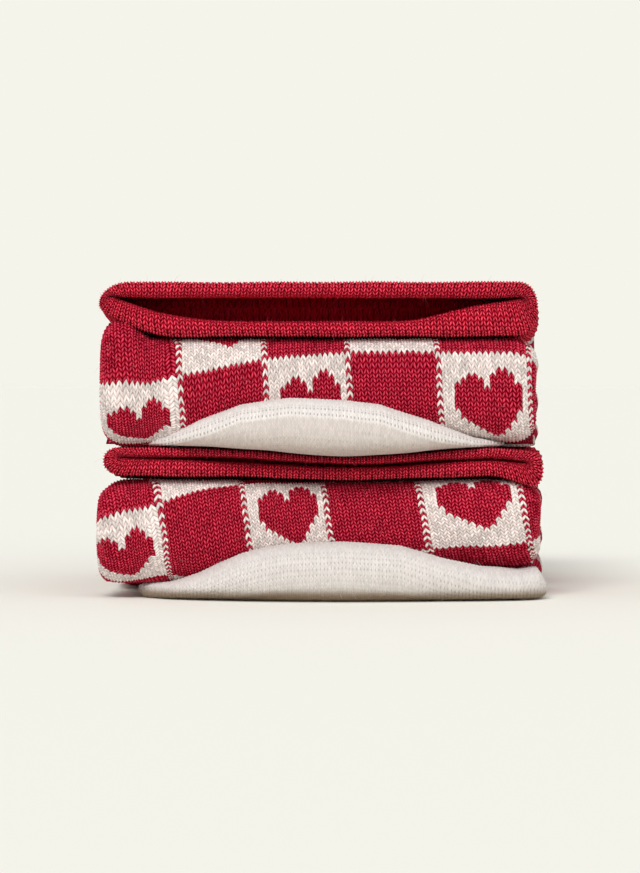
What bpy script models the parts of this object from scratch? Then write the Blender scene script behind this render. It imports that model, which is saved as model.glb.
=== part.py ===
"""Pair of crew socks, each folded in four and laid one on the other.

Every sock is a flattened knitted tube that runs: ribbed cuff, leg, heel,
foot, toe.  It is folded to and fro into four layers, so that from the side
it makes a flat W, and the toe pokes out in front under the big front fold.
The two socks lie one on the other with both cuffs facing the front.

Frame: +X right, +Y back, +Z up, metres, origin on the surface that the pair
lies on.  Sizes below are in millimetres and are turned to metres on the way
into a mesh.
"""

import math

import bmesh
import bpy

MM = 0.001

# ---------------------------------------------------------------- main sizes
Y_FRONT = -47.0          # front of the big folds
Y_BACK = 47.0            # back of the two rear folds
SEAM_Y = -2.0            # where the ribbed cuff joins the leg
TOE_SEAM_Y = -36.0       # where the foot joins the toe
GAP = 0.3                # clearance between neighbouring pieces
SLIT = 0.4               # space between two layers of one sock
SIDE_SKEW = 0.060        # the stack leans this far to the right, mm per mm back
MIDDLE_X = 2.015         # middle of the whole footprint in these sizes
MIDDLE_Y = -5.593

RIBS = 75                # one-by-one ribs round a cuff of 150 wales
RIB_RISE = 0.5           # how far a rib stands out
RIB_PROFILE = (0.0, 1.0, 1.0)     # share of the rise at a rib's three points

FLAT_STEPS = 10          # spans across the flat of a section
EDGE_STEPS = 6           # spans round each side edge of a section
FOLD_STEPS = 10          # spans round each fold
EDGE_POWER = 2.3         # roundness of a side edge, 2 is an ellipse
FOLD_POWER = 2.5         # roundness of a fold seen from the side
CORE_INSET = 9.0         # how deep the layers show at the side edges
TOE_SECTIONS = 20        # spans across each toe
TOE_CLEAR = 0.6          # clearance between the toe and the fold over it
TOE_END = 3.0            # how far the rounding of the toe's ends reaches

# Heights of each layer's two faces at the front, the middle and the back.
HEIGHT_COLUMNS = ("face", "front", "middle", "back")
LOWER_HEIGHTS = (
    ("layer_4_under", 0.0, 0.0, 0.0),
    ("layer_4_over", 4.6, 6.6, 6.9),
    ("layer_3_under", 5.0, 7.0, 7.3),
    ("layer_3_over", 14.0, 14.0, 14.1),
    ("layer_2_under", 14.4, 14.4, 14.5),
    ("layer_2_over", 24.3, 22.9, 21.4),
    ("layer_1_under", 24.7, 23.3, 21.8),
    ("layer_1_over", 31.2, 30.6, 29.0),
)
UPPER_HEIGHTS = (
    ("layer_4_under", 31.5, 30.9, 29.3),
    ("layer_4_over", 32.9, 36.0, 36.3),
    ("layer_3_under", 33.3, 36.4, 36.7),
    ("layer_3_over", 42.4, 43.6, 43.9),
    ("layer_2_under", 42.8, 44.0, 44.3),
    ("layer_2_over", 52.4, 51.8, 51.6),
    ("layer_1_under", 54.2, 52.5, 52.0),
    ("layer_1_over", 65.2, 64.2, 60.2),
)

# Toe, one row a section across the toe: where it is, how far it reaches to
# the front, and how high it puffs up in front of the big fold.
TOE_COLUMNS = ("x", "front", "rise")
LOWER_TOE = (
    (-38.0, -39.5, 4.2),
    (-35.0, -44.0, 4.4),
    (-31.0, -48.0, 4.7),
    (-25.0, -51.5, 6.1),
    (-16.5, -55.0, 8.7),
    (-6.5, -57.4, 11.3),
    (4.0, -58.2, 12.0),
    (16.0, -57.4, 10.9),
    (24.5, -55.8, 8.4),
    (32.5, -54.2, 6.6),
    (40.5, -52.0, 5.6),
    (44.5, -49.4, 4.8),
    (46.4, -47.0, 3.4),
)
UPPER_TOE = (
    (-38.0, -39.5, 1.0),
    (-35.5, -43.0, 1.2),
    (-32.0, -47.0, 1.9),
    (-25.0, -51.2, 5.4),
    (-16.5, -54.8, 8.7),
    (-6.5, -57.2, 10.2),
    (4.0, -57.8, 9.9),
    (12.0, -56.6, 9.0),
    (22.0, -52.8, 5.8),
    (31.5, -47.4, 1.9),
    (35.5, -43.4, 1.2),
    (38.0, -39.5, 1.0),
)

# One row a sock: half width of the layers, half width at the cuff, where the
# middle of the front fold and of the cuff lie, how thick the cuff's wall is
# over its mouth, the mouth's height, depth and fall inwards, how much its lip
# opens at the front, and how far the rounding of the cuff's side edges reaches,
# as a share of its half thickness.
LOWER = {
    "name": "lower", "heights": LOWER_HEIGHTS, "toe": LOWER_TOE,
    "half_width": 45.6, "cuff_half_width": 45.3,
    "middle": -0.9, "cuff_middle": 0.4,
    "mouth_half_width": 41.5, "mouth_middle": 0.4,
    "wall_over": 2.9, "mouth_height": 0.8, "mouth_depth": 12.0,
    "mouth_fall": 0.0, "lip_inside": 0.3, "left_edge": 1.15, "right_edge": 1.15,
}
UPPER = {
    "name": "upper", "heights": UPPER_HEIGHTS, "toe": UPPER_TOE,
    "half_width": 44.8, "cuff_half_width": 45.1,
    "middle": -1.0, "cuff_middle": -0.6,
    "mouth_half_width": 42.1, "mouth_middle": -1.0,
    "wall_over": 3.2, "mouth_height": 4.9, "mouth_depth": 36.0,
    "mouth_fall": 0.1, "lip_inside": 0.5, "left_edge": 1.15, "right_edge": 0.75,
}
SOCKS = (LOWER, UPPER)

CUFF_LIP_Y = -46.2       # front of the cuff's rolled lip
LIP_ROUND = 1.6          # how far back the lip's rounding reaches

COLOURS = {
    "cuff": (0.45, 0.012, 0.024, 1.0),
    "leg_and_foot": (0.52, 0.10, 0.10, 1.0),
    "toe": (0.80, 0.74, 0.68, 1.0),
}


# ------------------------------------------------------------- small helpers
def smooth(low, high, value):
    """Soft step from 0 at low to 1 at high."""
    share = min(1.0, max(0.0, (value - low) / (high - low)))
    return share * share * (3.0 - 2.0 * share)


def hump(low, peak, high, value):
    """Soft hump: 0 at low and high, 1 at peak."""
    return smooth(low, peak, value) * (1.0 - smooth(peak, high, value))


def settle(x, y, z):
    """Height of a point after the stack has settled under its own weight.

    The upper toe presses a shallow dip into the lower cuff, the lower front
    fold leans on a toe that is thicker on the right, and the upper fold's
    left corner curls up to the cuff.  All of it dies away at the surface
    that the pair lies on.
    """
    near_front = math.exp(-((y - Y_FRONT) / 42.0) ** 2) if y > Y_FRONT else 1.0
    across = math.exp(-((x - 6.0) / 20.0) ** 2)
    if z < 31.3:
        press = (max(z, 0.0) / 31.3) ** 4
    else:
        press = max(0.0, 1.0 - (z - 31.3) / 18.0) ** 2
    dip = -2.1 * across * press * near_front
    lean = 1.85 * (x / 45.0) * hump(0.0, 5.4, 21.0, z) * near_front
    curl_front = math.exp(-((y - Y_FRONT) / 15.0) ** 2)
    curl = 2.0 * math.exp(-((x + 45.0) / 8.0) ** 2) * hump(44.0, 55.0, 64.5, z) * curl_front
    return z + dip + lean + curl


def point(x, y, z):
    """A settled point in metres, measured from the middle of the footprint."""
    return ((x - MIDDLE_X) * MM, (y - MIDDLE_Y) * MM, settle(x, y, z) * MM)


def height(sock, face, y):
    """Height of a layer's face at depth y, on a parabola through its row."""
    row = next(r for r in sock["heights"] if r[0] == face)
    reach = 0.5 * (Y_BACK - Y_FRONT)
    t = max(-1.0, min(1.0, (y - 0.5 * (Y_BACK + Y_FRONT)) / reach))
    front, middle, back = row[1:]
    return middle + 0.5 * (back - front) * t + (0.5 * (back + front) - middle) * t * t


def middle_x(sock, y):
    """Middle of the sock's width at depth y."""
    return sock["middle"] + SIDE_SKEW * (y - Y_FRONT)


def outline(centre_x, half_width, edge, p_side, q_side):
    """Closed section of a flattened tube between two points of the YZ plane.

    Args:
        centre_x: middle of the section.
        half_width: half of its width.
        edge: how far the rounding of each side edge reaches inwards.
        p_side, q_side: (y, z) of the middle of its two flat faces.

    Returns:
        List of (x, y, z), from the left along the p side to the right and
        back along the q side.
    """
    flat = half_width - edge
    rows = []
    for i in range(FLAT_STEPS):
        rows.append((-flat + 2.0 * flat * i / FLAT_STEPS, -1.0))
    for i in range(EDGE_STEPS):
        turn = math.pi * i / EDGE_STEPS - 0.5 * math.pi
        bow = abs(math.cos(turn)) ** (2.0 / EDGE_POWER)
        rise = math.copysign(abs(math.sin(turn)) ** (2.0 / EDGE_POWER), math.sin(turn))
        rows.append((flat + edge * bow, rise))
    rows = rows + [(-x, -side) for x, side in rows]
    points = []
    for x, side in rows:
        share = 0.5 * (side + 1.0)
        y = p_side[0] + (q_side[0] - p_side[0]) * share
        z = p_side[1] + (q_side[1] - p_side[1]) * share
        points.append((centre_x + x, y, z))
    return points


def fold(centre, reach, up, down, side, steps):
    """Pairs of (inner, outer) points round a fold, from its top to its foot.

    Args:
        centre: (y, z) of the end of the slit that the fold goes round.
        reach: how far the fold reaches past the slit's end.
        up, down: its height over and under the slit.
        side: +1 for a fold at the back, -1 for one at the front.
        steps: spans from top to foot.
    """
    pairs = []
    for i in range(steps + 1):
        turn = 0.5 * math.pi - math.pi * i / steps
        across, along = math.cos(turn), math.sin(turn)
        tall = up if along > 0.0 else down
        radius = ((abs(across) / reach) ** FOLD_POWER
                  + (abs(along) / tall) ** FOLD_POWER) ** (-1.0 / FOLD_POWER)
        inner = (centre[0] + side * 0.5 * SLIT * across, centre[1] + 0.5 * SLIT * along)
        outer = (centre[0] + side * radius * across, centre[1] + radius * along)
        pairs.append((inner, outer))
    return pairs


def fold_sizes(sock, over, under, slit_over, slit_under, y):
    """Centre and heights of the fold that joins two layers at depth y."""
    centre = 0.5 * (height(sock, slit_over, y) + height(sock, slit_under, y))
    return (y, centre), height(sock, over, y) - centre, centre - height(sock, under, y)


BACK_REACH = 7.5         # how far the rear folds reach past their slits
FRONT_REACH = 10.0       # how far the front fold reaches past its slit
BACK_SLIT_Y = Y_BACK - BACK_REACH
FRONT_SLIT_Y = Y_FRONT + FRONT_REACH


def straight(sock, q_face, p_face, depths):
    """Stations of a flat layer: (p point, q point) at each depth."""
    return [((y, height(sock, p_face, y)), (y, height(sock, q_face, y))) for y in depths]


def path(sock):
    """Stations of the leg and foot from the cuff's seam to the toe's seam.

    The p side is the instep, outside the front fold; the q side is the sole,
    outside the rear folds and on top of the pair.
    """
    stations = straight(sock, "layer_1_over", "layer_1_under",
                        (SEAM_Y + GAP, 12.0, 26.0))
    centre, up, down = fold_sizes(sock, "layer_1_over", "layer_2_under",
                                  "layer_1_under", "layer_2_over", BACK_SLIT_Y)
    stations += fold(centre, BACK_REACH, up, down, 1.0, FOLD_STEPS)
    stations += straight(sock, "layer_2_under", "layer_2_over", (20.0, 0.0, -20.0))
    centre, up, down = fold_sizes(sock, "layer_2_over", "layer_3_under",
                                  "layer_2_under", "layer_3_over", FRONT_SLIT_Y)
    stations += [(outer, inner) for inner, outer in
                 fold(centre, FRONT_REACH, up, down, -1.0, FOLD_STEPS)]
    stations += straight(sock, "layer_3_over", "layer_3_under", (-20.0, 0.0, 20.0))
    centre, up, down = fold_sizes(sock, "layer_3_over", "layer_4_under",
                                  "layer_3_under", "layer_4_over", BACK_SLIT_Y)
    stations += fold(centre, BACK_REACH, up, down, 1.0, FOLD_STEPS)
    stations += straight(sock, "layer_4_under", "layer_4_over",
                         (24.0, 4.0, -16.0, TOE_SEAM_Y + GAP))
    return stations


def half_width_at(sock, y):
    """The layers are a little wider in the middle of the stack."""
    return sock["half_width"] + 1.0 * hump(Y_FRONT, 0.0, Y_BACK + 10.0, y)


# --------------------------------------------------------------- mesh making
def finish(name, kind, mesh_data):
    """Link a bmesh as one named object with its own material."""
    bmesh.ops.recalc_face_normals(mesh_data, faces=mesh_data.faces)
    bmesh.ops.triangulate(mesh_data, faces=mesh_data.faces)
    mesh = bpy.data.meshes.new(name)
    mesh_data.to_mesh(mesh)
    mesh_data.free()
    mesh.shade_smooth()
    mesh.set_sharp_from_angle(angle=math.radians(50.0))
    body = bpy.data.objects.new(name, mesh)
    bpy.context.collection.objects.link(body)
    material = bpy.data.materials.new(name)
    material.use_nodes = True
    shader = material.node_tree.nodes["Principled BSDF"]
    shader.inputs["Base Color"].default_value = COLOURS[kind]
    shader.inputs["Roughness"].default_value = 0.9
    shader.inputs["Metallic"].default_value = 0.0
    mesh.materials.append(material)
    return body


def loft(mesh_data, rings, close_start=True, close_end=True):
    """Quads between rings of equal length, with a flat face over each end."""
    loops = [[mesh_data.verts.new(point(*p)) for p in ring] for ring in rings]
    for near, far in zip(loops, loops[1:]):
        count = len(near)
        for i in range(count):
            j = (i + 1) % count
            mesh_data.faces.new((near[i], near[j], far[j], far[i]))
    if close_start:
        mesh_data.faces.new(tuple(reversed(loops[0])))
    if close_end:
        mesh_data.faces.new(tuple(loops[-1]))
    return loops


def core(sock, name, lower_pair, upper_pair, front, back):
    """Inner block that joins two layers, clear of the sock's edges.

    It spans from the middle of one layer to the middle of the next, so the
    hidden layers share one solid and only their edges stay apart.
    """
    spans = 8
    rings = []
    for i in range(spans + 1):
        y = front + (back - front) * i / spans
        low = 0.5 * (height(sock, lower_pair[0], y) + height(sock, lower_pair[1], y))
        high = 0.5 * (height(sock, upper_pair[0], y) + height(sock, upper_pair[1], y))
        half = half_width_at(sock, y) - CORE_INSET
        centre = middle_x(sock, y)
        row = [(centre - half + 2.0 * half * k / spans, y) for k in range(spans + 1)]
        rings.append([(x, y, low) for x, y in row]
                     + [(x, y, high) for x, y in reversed(row)])
    block = bmesh.new()
    loft(block, rings)
    bmesh.ops.recalc_face_normals(block, faces=block.faces)
    mesh = bpy.data.meshes.new(name)
    block.to_mesh(mesh)
    block.free()
    body = bpy.data.objects.new(name, mesh)
    bpy.context.collection.objects.link(body)
    return body


def leg_and_foot(sock):
    """Leg, heel and foot: a tube folded in four, its layers fused inside."""
    rings = []
    for p_side, q_side in path(sock):
        y = 0.5 * (p_side[0] + q_side[0])
        thick = math.dist(p_side, q_side)
        edge = min(7.0, 0.35 + 0.62 * thick)
        rings.append(outline(middle_x(sock, y), half_width_at(sock, y), edge,
                             p_side, q_side))
    tube = bmesh.new()
    loft(tube, rings)
    body = finish(sock["name"] + "_leg_and_foot", "leg_and_foot", tube)
    layers = (
        ("core_1_2", ("layer_2_under", "layer_2_over"), ("layer_1_under", "layer_1_over"),
         SEAM_Y + CORE_INSET, Y_BACK - CORE_INSET - 1.0),
        ("core_2_3", ("layer_3_under", "layer_3_over"), ("layer_2_under", "layer_2_over"),
         FRONT_SLIT_Y - 3.0, BACK_SLIT_Y - 2.0),
        ("core_3_4", ("layer_4_under", "layer_4_over"), ("layer_3_under", "layer_3_over"),
         TOE_SEAM_Y + CORE_INSET, Y_BACK - CORE_INSET - 1.0),
    )
    for label, low, high, front, back in layers:
        block = core(sock, sock["name"] + "_" + label, low, high, front, back)
        join = body.modifiers.new(label, "BOOLEAN")
        join.operation = "UNION"
        join.solver = "EXACT"
        join.object = block
        block.hide_render = True
        block.display_type = "WIRE"
    return body


def resampled(loop, count):
    """Points spaced evenly along a closed loop, with their outward normals."""
    lengths = [0.0]
    closed = loop + [loop[0]]
    for a, b in zip(closed, closed[1:]):
        lengths.append(lengths[-1] + math.dist(a, b))
    out = []
    k = 0
    for i in range(count):
        goal = lengths[-1] * i / count
        while lengths[k + 1] < goal:
            k += 1
        a, b = closed[k], closed[k + 1]
        span = lengths[k + 1] - lengths[k]
        share = (goal - lengths[k]) / span
        along = ((b[0] - a[0]) / span, (b[1] - a[1]) / span)
        out.append(((a[0] + (b[0] - a[0]) * share, a[1] + (b[1] - a[1]) * share),
                    (along[1], -along[0])))
    return out


def cuff_loop(sock, y):
    """Section (x, z) of the cuff's outside at depth y, finely stepped."""
    low = height(sock, "layer_1_under", y)
    high = height(sock, "layer_1_over", y)
    share = smooth(Y_FRONT, SEAM_Y, y)
    centre = sock["cuff_middle"] * (1.0 - share) + middle_x(sock, y) * share
    half_width = (sock["cuff_half_width"] * (1.0 - share)
                  + half_width_at(sock, y) * share)
    half = 0.5 * (high - low)
    steps = 40
    rows = []
    for side, share in ((1.0, sock["right_edge"]), (-1.0, sock["left_edge"])):
        edge = share * half
        for i in range(steps):
            flat = half_width - edge
            rows.append((side * flat * i / steps, -side * half))
        for i in range(steps):
            turn = math.pi * i / steps - 0.5 * math.pi
            bow = abs(math.cos(turn)) ** (2.0 / EDGE_POWER)
            rise = math.copysign(abs(math.sin(turn)) ** (2.0 / EDGE_POWER),
                                 math.sin(turn))
            rows.append((side * (flat + edge * bow), side * half * rise))
        for i in range(steps):
            rows.append((side * flat * (1.0 - i / steps), side * half))
    return [(centre + x, 0.5 * (low + high) + z) for x, z in rows]


def mouth_loop(sock, y):
    """Section (x, z) of the cuff's hollow at depth y, finely stepped."""
    inward = smooth(CUFF_LIP_Y, CUFF_LIP_Y + sock["mouth_depth"], y)
    over = height(sock, "layer_1_over", Y_FRONT) - sock["wall_over"]
    over -= sock["mouth_fall"] * inward
    tall = sock["mouth_height"] * (1.0 - 0.06 * inward)
    half_width = sock["mouth_half_width"] - 1.5 * inward
    centre = sock["mouth_middle"]
    steps = 40
    rows = []
    for start, end, roof in ((0.0, 1.0, False), (1.0, -1.0, True), (-1.0, 0.0, False)):
        for i in range(steps):
            t = start + (end - start) * i / steps
            bow = 1.0 - t ** 4
            z = over + 0.05 * bow if roof else over - tall * bow - 0.05
            rows.append((centre + half_width * t, z))
    return rows


def cuff(sock):
    """Ribbed cuff with its open mouth and a rolled lip."""
    tube = bmesh.new()
    per_rib = len(RIB_PROFILE)
    count = RIBS * per_rib

    def outer(y, sink):
        ring = []
        for i, (at, out) in enumerate(resampled(cuff_loop(sock, y), count)):
            rise = RIB_RISE * RIB_PROFILE[i % per_rib] - RIB_RISE - sink
            ring.append((at[0] + out[0] * rise, y, at[1] + out[1] * rise))
        return ring

    def inner(y, swell):
        ring = []
        for at, out in resampled(mouth_loop(sock, y), RIBS):
            ring.append((at[0] + out[0] * swell, y, at[1] + out[1] * swell))
        return ring

    lip = LIP_ROUND
    rings = [
        outer(SEAM_Y, 0.0),
        outer(-18.0, 0.0),
        outer(-34.0, 0.0),
        outer(CUFF_LIP_Y + lip, 0.0),
        outer(CUFF_LIP_Y + 0.35 * lip, 0.30),
        outer(CUFF_LIP_Y, 0.95),
    ]
    loops = loft(tube, rings, close_start=True, close_end=False)
    depth = sock["mouth_depth"]
    hollow = [
        inner(CUFF_LIP_Y + 0.05, sock["lip_inside"]),
        inner(CUFF_LIP_Y + 0.8 * lip, 0.0),
        inner(CUFF_LIP_Y + 0.5 * depth, 0.0),
        inner(CUFF_LIP_Y + depth, 0.0),
    ]
    bags = [[tube.verts.new(point(*p)) for p in ring] for ring in hollow]
    for near, far in zip(bags, bags[1:]):
        for i in range(RIBS):
            j = (i + 1) % RIBS
            tube.faces.new((near[i], near[j], far[j], far[i]))
    tube.faces.new(tuple(bags[-1]))
    front, first = loops[-1], bags[0]
    for i in range(RIBS):
        j = (i + 1) % RIBS
        a = i * per_rib
        for k in range(per_rib):
            tube.faces.new((front[a + k], front[(a + k + 1) % count],
                            first[i] if k < 2 else first[j]))
        tube.faces.new((first[i], front[a + 2], first[j]))
    return finish(sock["name"] + "_cuff", "cuff", tube)


def between(rows, x):
    """Front reach and rise of the toe at x, eased between two table rows."""
    for a, b in zip(rows, rows[1:]):
        if x <= b[0]:
            share = (x - a[0]) / (b[0] - a[0])
            return a[1] + (b[1] - a[1]) * share, a[2] + (b[2] - a[2]) * share
    return rows[-1][1:]


def toe(sock):
    """Toe: a flat slab under the front fold that puffs up in front of it."""
    centre, _, down = fold_sizes(sock, "layer_2_over", "layer_3_under",
                                 "layer_2_under", "layer_3_over", FRONT_SLIT_Y)
    sole = height(sock, "layer_4_under", Y_FRONT)
    slab = height(sock, "layer_3_under", Y_FRONT) - TOE_CLEAR
    left, right = sock["toe"][0][0], sock["toe"][-1][0]
    rings = []
    inside = [left + TOE_END + (right - left - 2.0 * TOE_END) * k / TOE_SECTIONS
              for k in range(TOE_SECTIONS + 1)]
    ends = [0.04, 0.22, 0.55]
    places = ([left + TOE_END * e for e in ends] + inside
              + [right - TOE_END * e for e in reversed(ends)])
    for x in places:
        near_end = min(1.0, (x - left) / TOE_END, (right - x) / TOE_END)
        swell = (1.0 - (1.0 - near_end) ** 2.4) ** (1.0 / 2.4)
        front, rise = between(sock["toe"], x)
        top = sole + rise
        half = 0.5 * rise
        tucked = under_fold(centre, down, top - 0.3, 11)
        bulb = max(1.2, min(7.0, 0.5 * (TOE_SEAM_Y - 3.0 - front)))
        bulb_y = min(front + bulb, tucked[0][0] - 0.2)
        bulb = bulb_y - front
        loop = [(TOE_SEAM_Y, sole), (0.5 * (TOE_SEAM_Y + bulb_y), sole)]
        for i in range(9):
            turn = math.pi * i / 8 - 0.5 * math.pi
            bow = abs(math.cos(turn)) ** (2.0 / 2.2)
            lift = math.copysign(abs(math.sin(turn)) ** (2.0 / 2.2), math.sin(turn))
            loop.append((bulb_y - bulb * bow, sole + half + half * lift))
        loop += tucked
        loop.append((TOE_SEAM_Y, slab))
        heart = sole + 0.5 * min(slab - sole, rise)
        depth = 0.5 * (TOE_SEAM_Y + front)
        rings.append([(x, depth + (y - depth) * (0.5 + 0.5 * swell),
                       heart + (min(z, top) - heart) * swell) for y, z in loop])
    body = bmesh.new()
    loft(body, rings)
    return finish(sock["name"] + "_toe", "toe", body)


def under_fold(centre, down, top, steps):
    """Points along the foot of the front fold, a small clearance outside it."""
    low_turn = -0.5 * math.pi
    high_turn = low_turn
    for i in range(91):
        turn = low_turn * (1.0 - i / 90.0)
        if centre[1] + fold_radius(turn, down) * math.sin(turn) < top:
            high_turn = turn
    points = []
    for i in range(steps):
        turn = high_turn + (low_turn - high_turn) * i / (steps - 1)
        radius = fold_radius(turn, down) + TOE_CLEAR
        points.append((centre[0] - radius * math.cos(turn),
                       centre[1] + radius * math.sin(turn)))
    return points


def fold_radius(turn, tall):
    """Distance from the slit's end to the front fold's outside."""
    return ((abs(math.cos(turn)) / FRONT_REACH) ** FOLD_POWER
            + (abs(math.sin(turn)) / tall) ** FOLD_POWER) ** (-1.0 / FOLD_POWER)


def main():
    for old in list(bpy.data.objects):
        bpy.data.objects.remove(old)
    for sock in SOCKS:
        cuff(sock)
        leg_and_foot(sock)
        toe(sock)


main()
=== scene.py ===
"""Looks for a pair of folded knitted crew socks, one laid on the other.

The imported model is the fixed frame.  Each sock gets a thin knitted shell on
its solids: a plain knit tube folded in four, a ribbed cuff with an open
mouth, and a white toe.  Stitches are modelled where the photograph shows them
from the front, and drawn in the finish elsewhere.  Sizes are millimetres
until a mesh is made.
"""

import sys
import logging
import math
from dataclasses import dataclass, field
from enum import Enum
from typing import Dict, List, Optional, Sequence, Tuple

import bpy
import numpy as np
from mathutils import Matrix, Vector


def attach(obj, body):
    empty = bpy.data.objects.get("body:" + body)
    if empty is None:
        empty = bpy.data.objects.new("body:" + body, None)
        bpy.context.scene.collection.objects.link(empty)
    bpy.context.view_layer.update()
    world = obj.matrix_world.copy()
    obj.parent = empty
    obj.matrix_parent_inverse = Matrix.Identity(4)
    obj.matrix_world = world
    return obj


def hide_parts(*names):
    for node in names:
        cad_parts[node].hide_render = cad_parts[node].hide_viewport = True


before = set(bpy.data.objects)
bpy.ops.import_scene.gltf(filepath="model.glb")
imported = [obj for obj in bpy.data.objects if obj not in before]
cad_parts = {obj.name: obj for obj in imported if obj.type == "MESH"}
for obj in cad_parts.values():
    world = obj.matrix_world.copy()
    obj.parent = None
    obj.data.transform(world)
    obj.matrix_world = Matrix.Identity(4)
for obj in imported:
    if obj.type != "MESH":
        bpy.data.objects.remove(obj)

LOG = logging.getLogger("socks")
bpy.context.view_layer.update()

MM = 0.001

# The folded stack, as in its solids.
Y_FRONT, Y_BACK = -47.0, 47.0
SEAM_Y, TOE_SEAM_Y = -2.0, -36.0        # where the cuff and the toe join on
GAP, SLIT = 0.3, 0.4                    # between two zones, and between two layers
SIDE_SKEW = 0.060                       # sideways slope of the sides, going back
MIDDLE_X, MIDDLE_Y = 2.015, -5.593      # middle of the footprint
BACK_REACH, FRONT_REACH = 7.5, 10.0     # how far a fold reaches past its slit's end
BACK_SLIT_Y, FRONT_SLIT_Y = Y_BACK - BACK_REACH, Y_FRONT + FRONT_REACH
FRONT_FOLD = ("layer_2_over", "layer_3_under", "layer_2_under", "layer_3_over")
CUFF_LIP_Y, LIP_ROUND = -46.2, 1.6      # lip's front, and how far it rolls
TOE_CLEAR, TOE_END = 0.6, 3.0           # toe's space to the fold, and its rounded end

# How the stack sinks under its own weight, as its solids do.
LOWER_TOP = 31.3                            # height where the upper sock starts
DIP, DIP_X, DIP_WIDTH = 2.1, 6.0, 20.0      # sag of the middle
DIP_OVER = 18.0                             # height over which the upper sock makes it up
TILT, TILT_HALF = 1.85, 45.0                # rise of the lowest layers to the right
TILT_SPAN = (0.0, 5.4, 21.0)                # heights where this starts, peaks and ends
CURL, CURL_X, CURL_WIDTH = 2.0, -45.0, 8.0  # rise of the upper sock's left side
CURL_SPAN = (44.0, 55.0, 64.5)
SINK_DEPTH, CURL_DEPTH = 42.0, 15.0         # how far back each is felt

# Roundness as the power of a superellipse: 2 is an ellipse, and more is squarer.
EDGE_POWER, FOLD_POWER, TOE_POWER = 2.3, 2.5, 2.2
TOP_POWER, LEFT_FOOT_POWER = 3.2, 2.0       # front fold's top, and its left foot
SIDE_LEAST, SIDE_SHARE, SIDE_MOST = 0.35, 0.62, 7.0     # depth of a layer's side, by thickness

# Where the front fold's cloth departs from its solid.  A place is x from and to.
LEFT_FOOT_X = (-22.0, -34.0)            # its left foot is rounder
CORNER_X = (-37.0, -42.5)               # its top left corner stands up
CORNER_CLOTH_X = (-33.0, -40.0)         # cloth is drawn over that corner
BUNCH_X = (-24.0, -34.0)                # courses bunch at its left foot
SOLE_END_X, SOLE_END_Y = (-32.0, -42.0), (0.0, -30.0)   # the sole's left end curls up
LIFT_SPAN = (-15.0, -1.0, 6.0)          # heights from its top that are lifted
SAG_SPAN = (-3.0, 0.0, 12.0)            # heights from its foot that sag
FOLD_DEPTH = 12.0                       # how far back lift and sag are felt
CORNER_DRAW = 0.07                      # cloth drawn for each millimetre of the corner's lift
TOP_SPAN, RELAX = 12.0, 60.0            # length so drawn, and where it evens out
ROW_SPAN = 4.0                          # cloth below the row's top that is drawn long
LEAN_REACH = 14.0                       # from the fold's middle, where wales stop leaning
LEFT_MARGIN_WALES = (1.9, 0.6)          # wales drawn wide beside the left squares
MIXED_SIDE = 0.72                       # half a column of mixed stitches, and some play
WINDOW_WALES = (-7.0, 84.0)             # wales whose stitches are modelled
WINDOW_REACH = (-18.0, 17.0)            # its length along the cloth, from the fold's middle
INSET, UNEVEN = 0.12, 0.12              # how far the cloth lies in its solid, and its swell

# The knit: a wale is a column of stitches, and a course is a row.
WALES = 150
BACK_WALE = 1.29        # stitch width on the far side of each layer
COURSE = 0.785
FIRST_COURSE = 240.0    # number of the course at the top of the main squares
STRAND_SLOPE = 0.95     # courses that a strand falls from a wale's middle to its edge
SQUARE_WALES, SQUARE_COURSES = 15, 24
LIP_PITS = 1.6          # course of the lip with a pit at every other wale
TOE_ROW_COURSES = 2.6   # courses from one faint row of pits to the next
TOE_SEAMS = ((-0.9, 0.5), (0.0, 1.0), (1.7, 1.0))   # course and depth of pits
CUFF_FIRST = 100.0      # number of the course where the lip starts
TOE_FIRST = 200.0       # number of the course at the toe's seam

Array = np.ndarray


def smooth(low: float, high: float, value: Array) -> Array:
    """Soft step from 0 at low to 1 at high."""
    share = np.clip((np.asarray(value, float) - low) / (high - low), 0.0, 1.0)
    return share * share * (3.0 - 2.0 * share)


def hump_flat(a: float, b: float, c: float, d: float, value: Array) -> Array:
    """Soft hump: 0 outside a to d, 1 from b to c."""
    return smooth(a, b, value) * (1.0 - smooth(c, d, value))


def hump(low: float, peak: float, high: float, value: Array) -> Array:
    """Soft hump: 0 at low and high, 1 at peak."""
    return hump_flat(low, peak, peak, high, value)


def bell(value: Array, middle: float, width: float) -> Array:
    """Bell curve: 1 at the middle, 0.37 a width away from it."""
    return np.exp(-((value - middle) / width) ** 2)


def superellipse(turn: Array, power: float) -> Tuple[Array, Array]:
    """How far out and how high a rounded edge is, as shares, from -90 to 90 degrees."""
    return (np.abs(np.cos(turn)) ** (2.0 / power),
            np.sign(np.sin(turn)) * np.abs(np.sin(turn)) ** (2.0 / power))


def lengths_along(line: Array) -> Array:
    """Distance of each of (n, 2) points along their line."""
    return np.concatenate([[0.0], np.cumsum(np.hypot(*np.diff(line, axis=0).T))])


def points_at(goal: Array, along: Array, line: Array) -> Array:
    """Points of a line at distances along it."""
    return np.stack([np.interp(goal, along, line[:, k]) for k in (0, 1)], axis=-1)


def from_table(rows: Sequence[Sequence[float]], x: Array, column: int = 1) -> Array:
    """Value at x of a table whose rows start with their x."""
    table = np.array(rows)
    return np.interp(x, table[:, 0], table[:, column])


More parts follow.
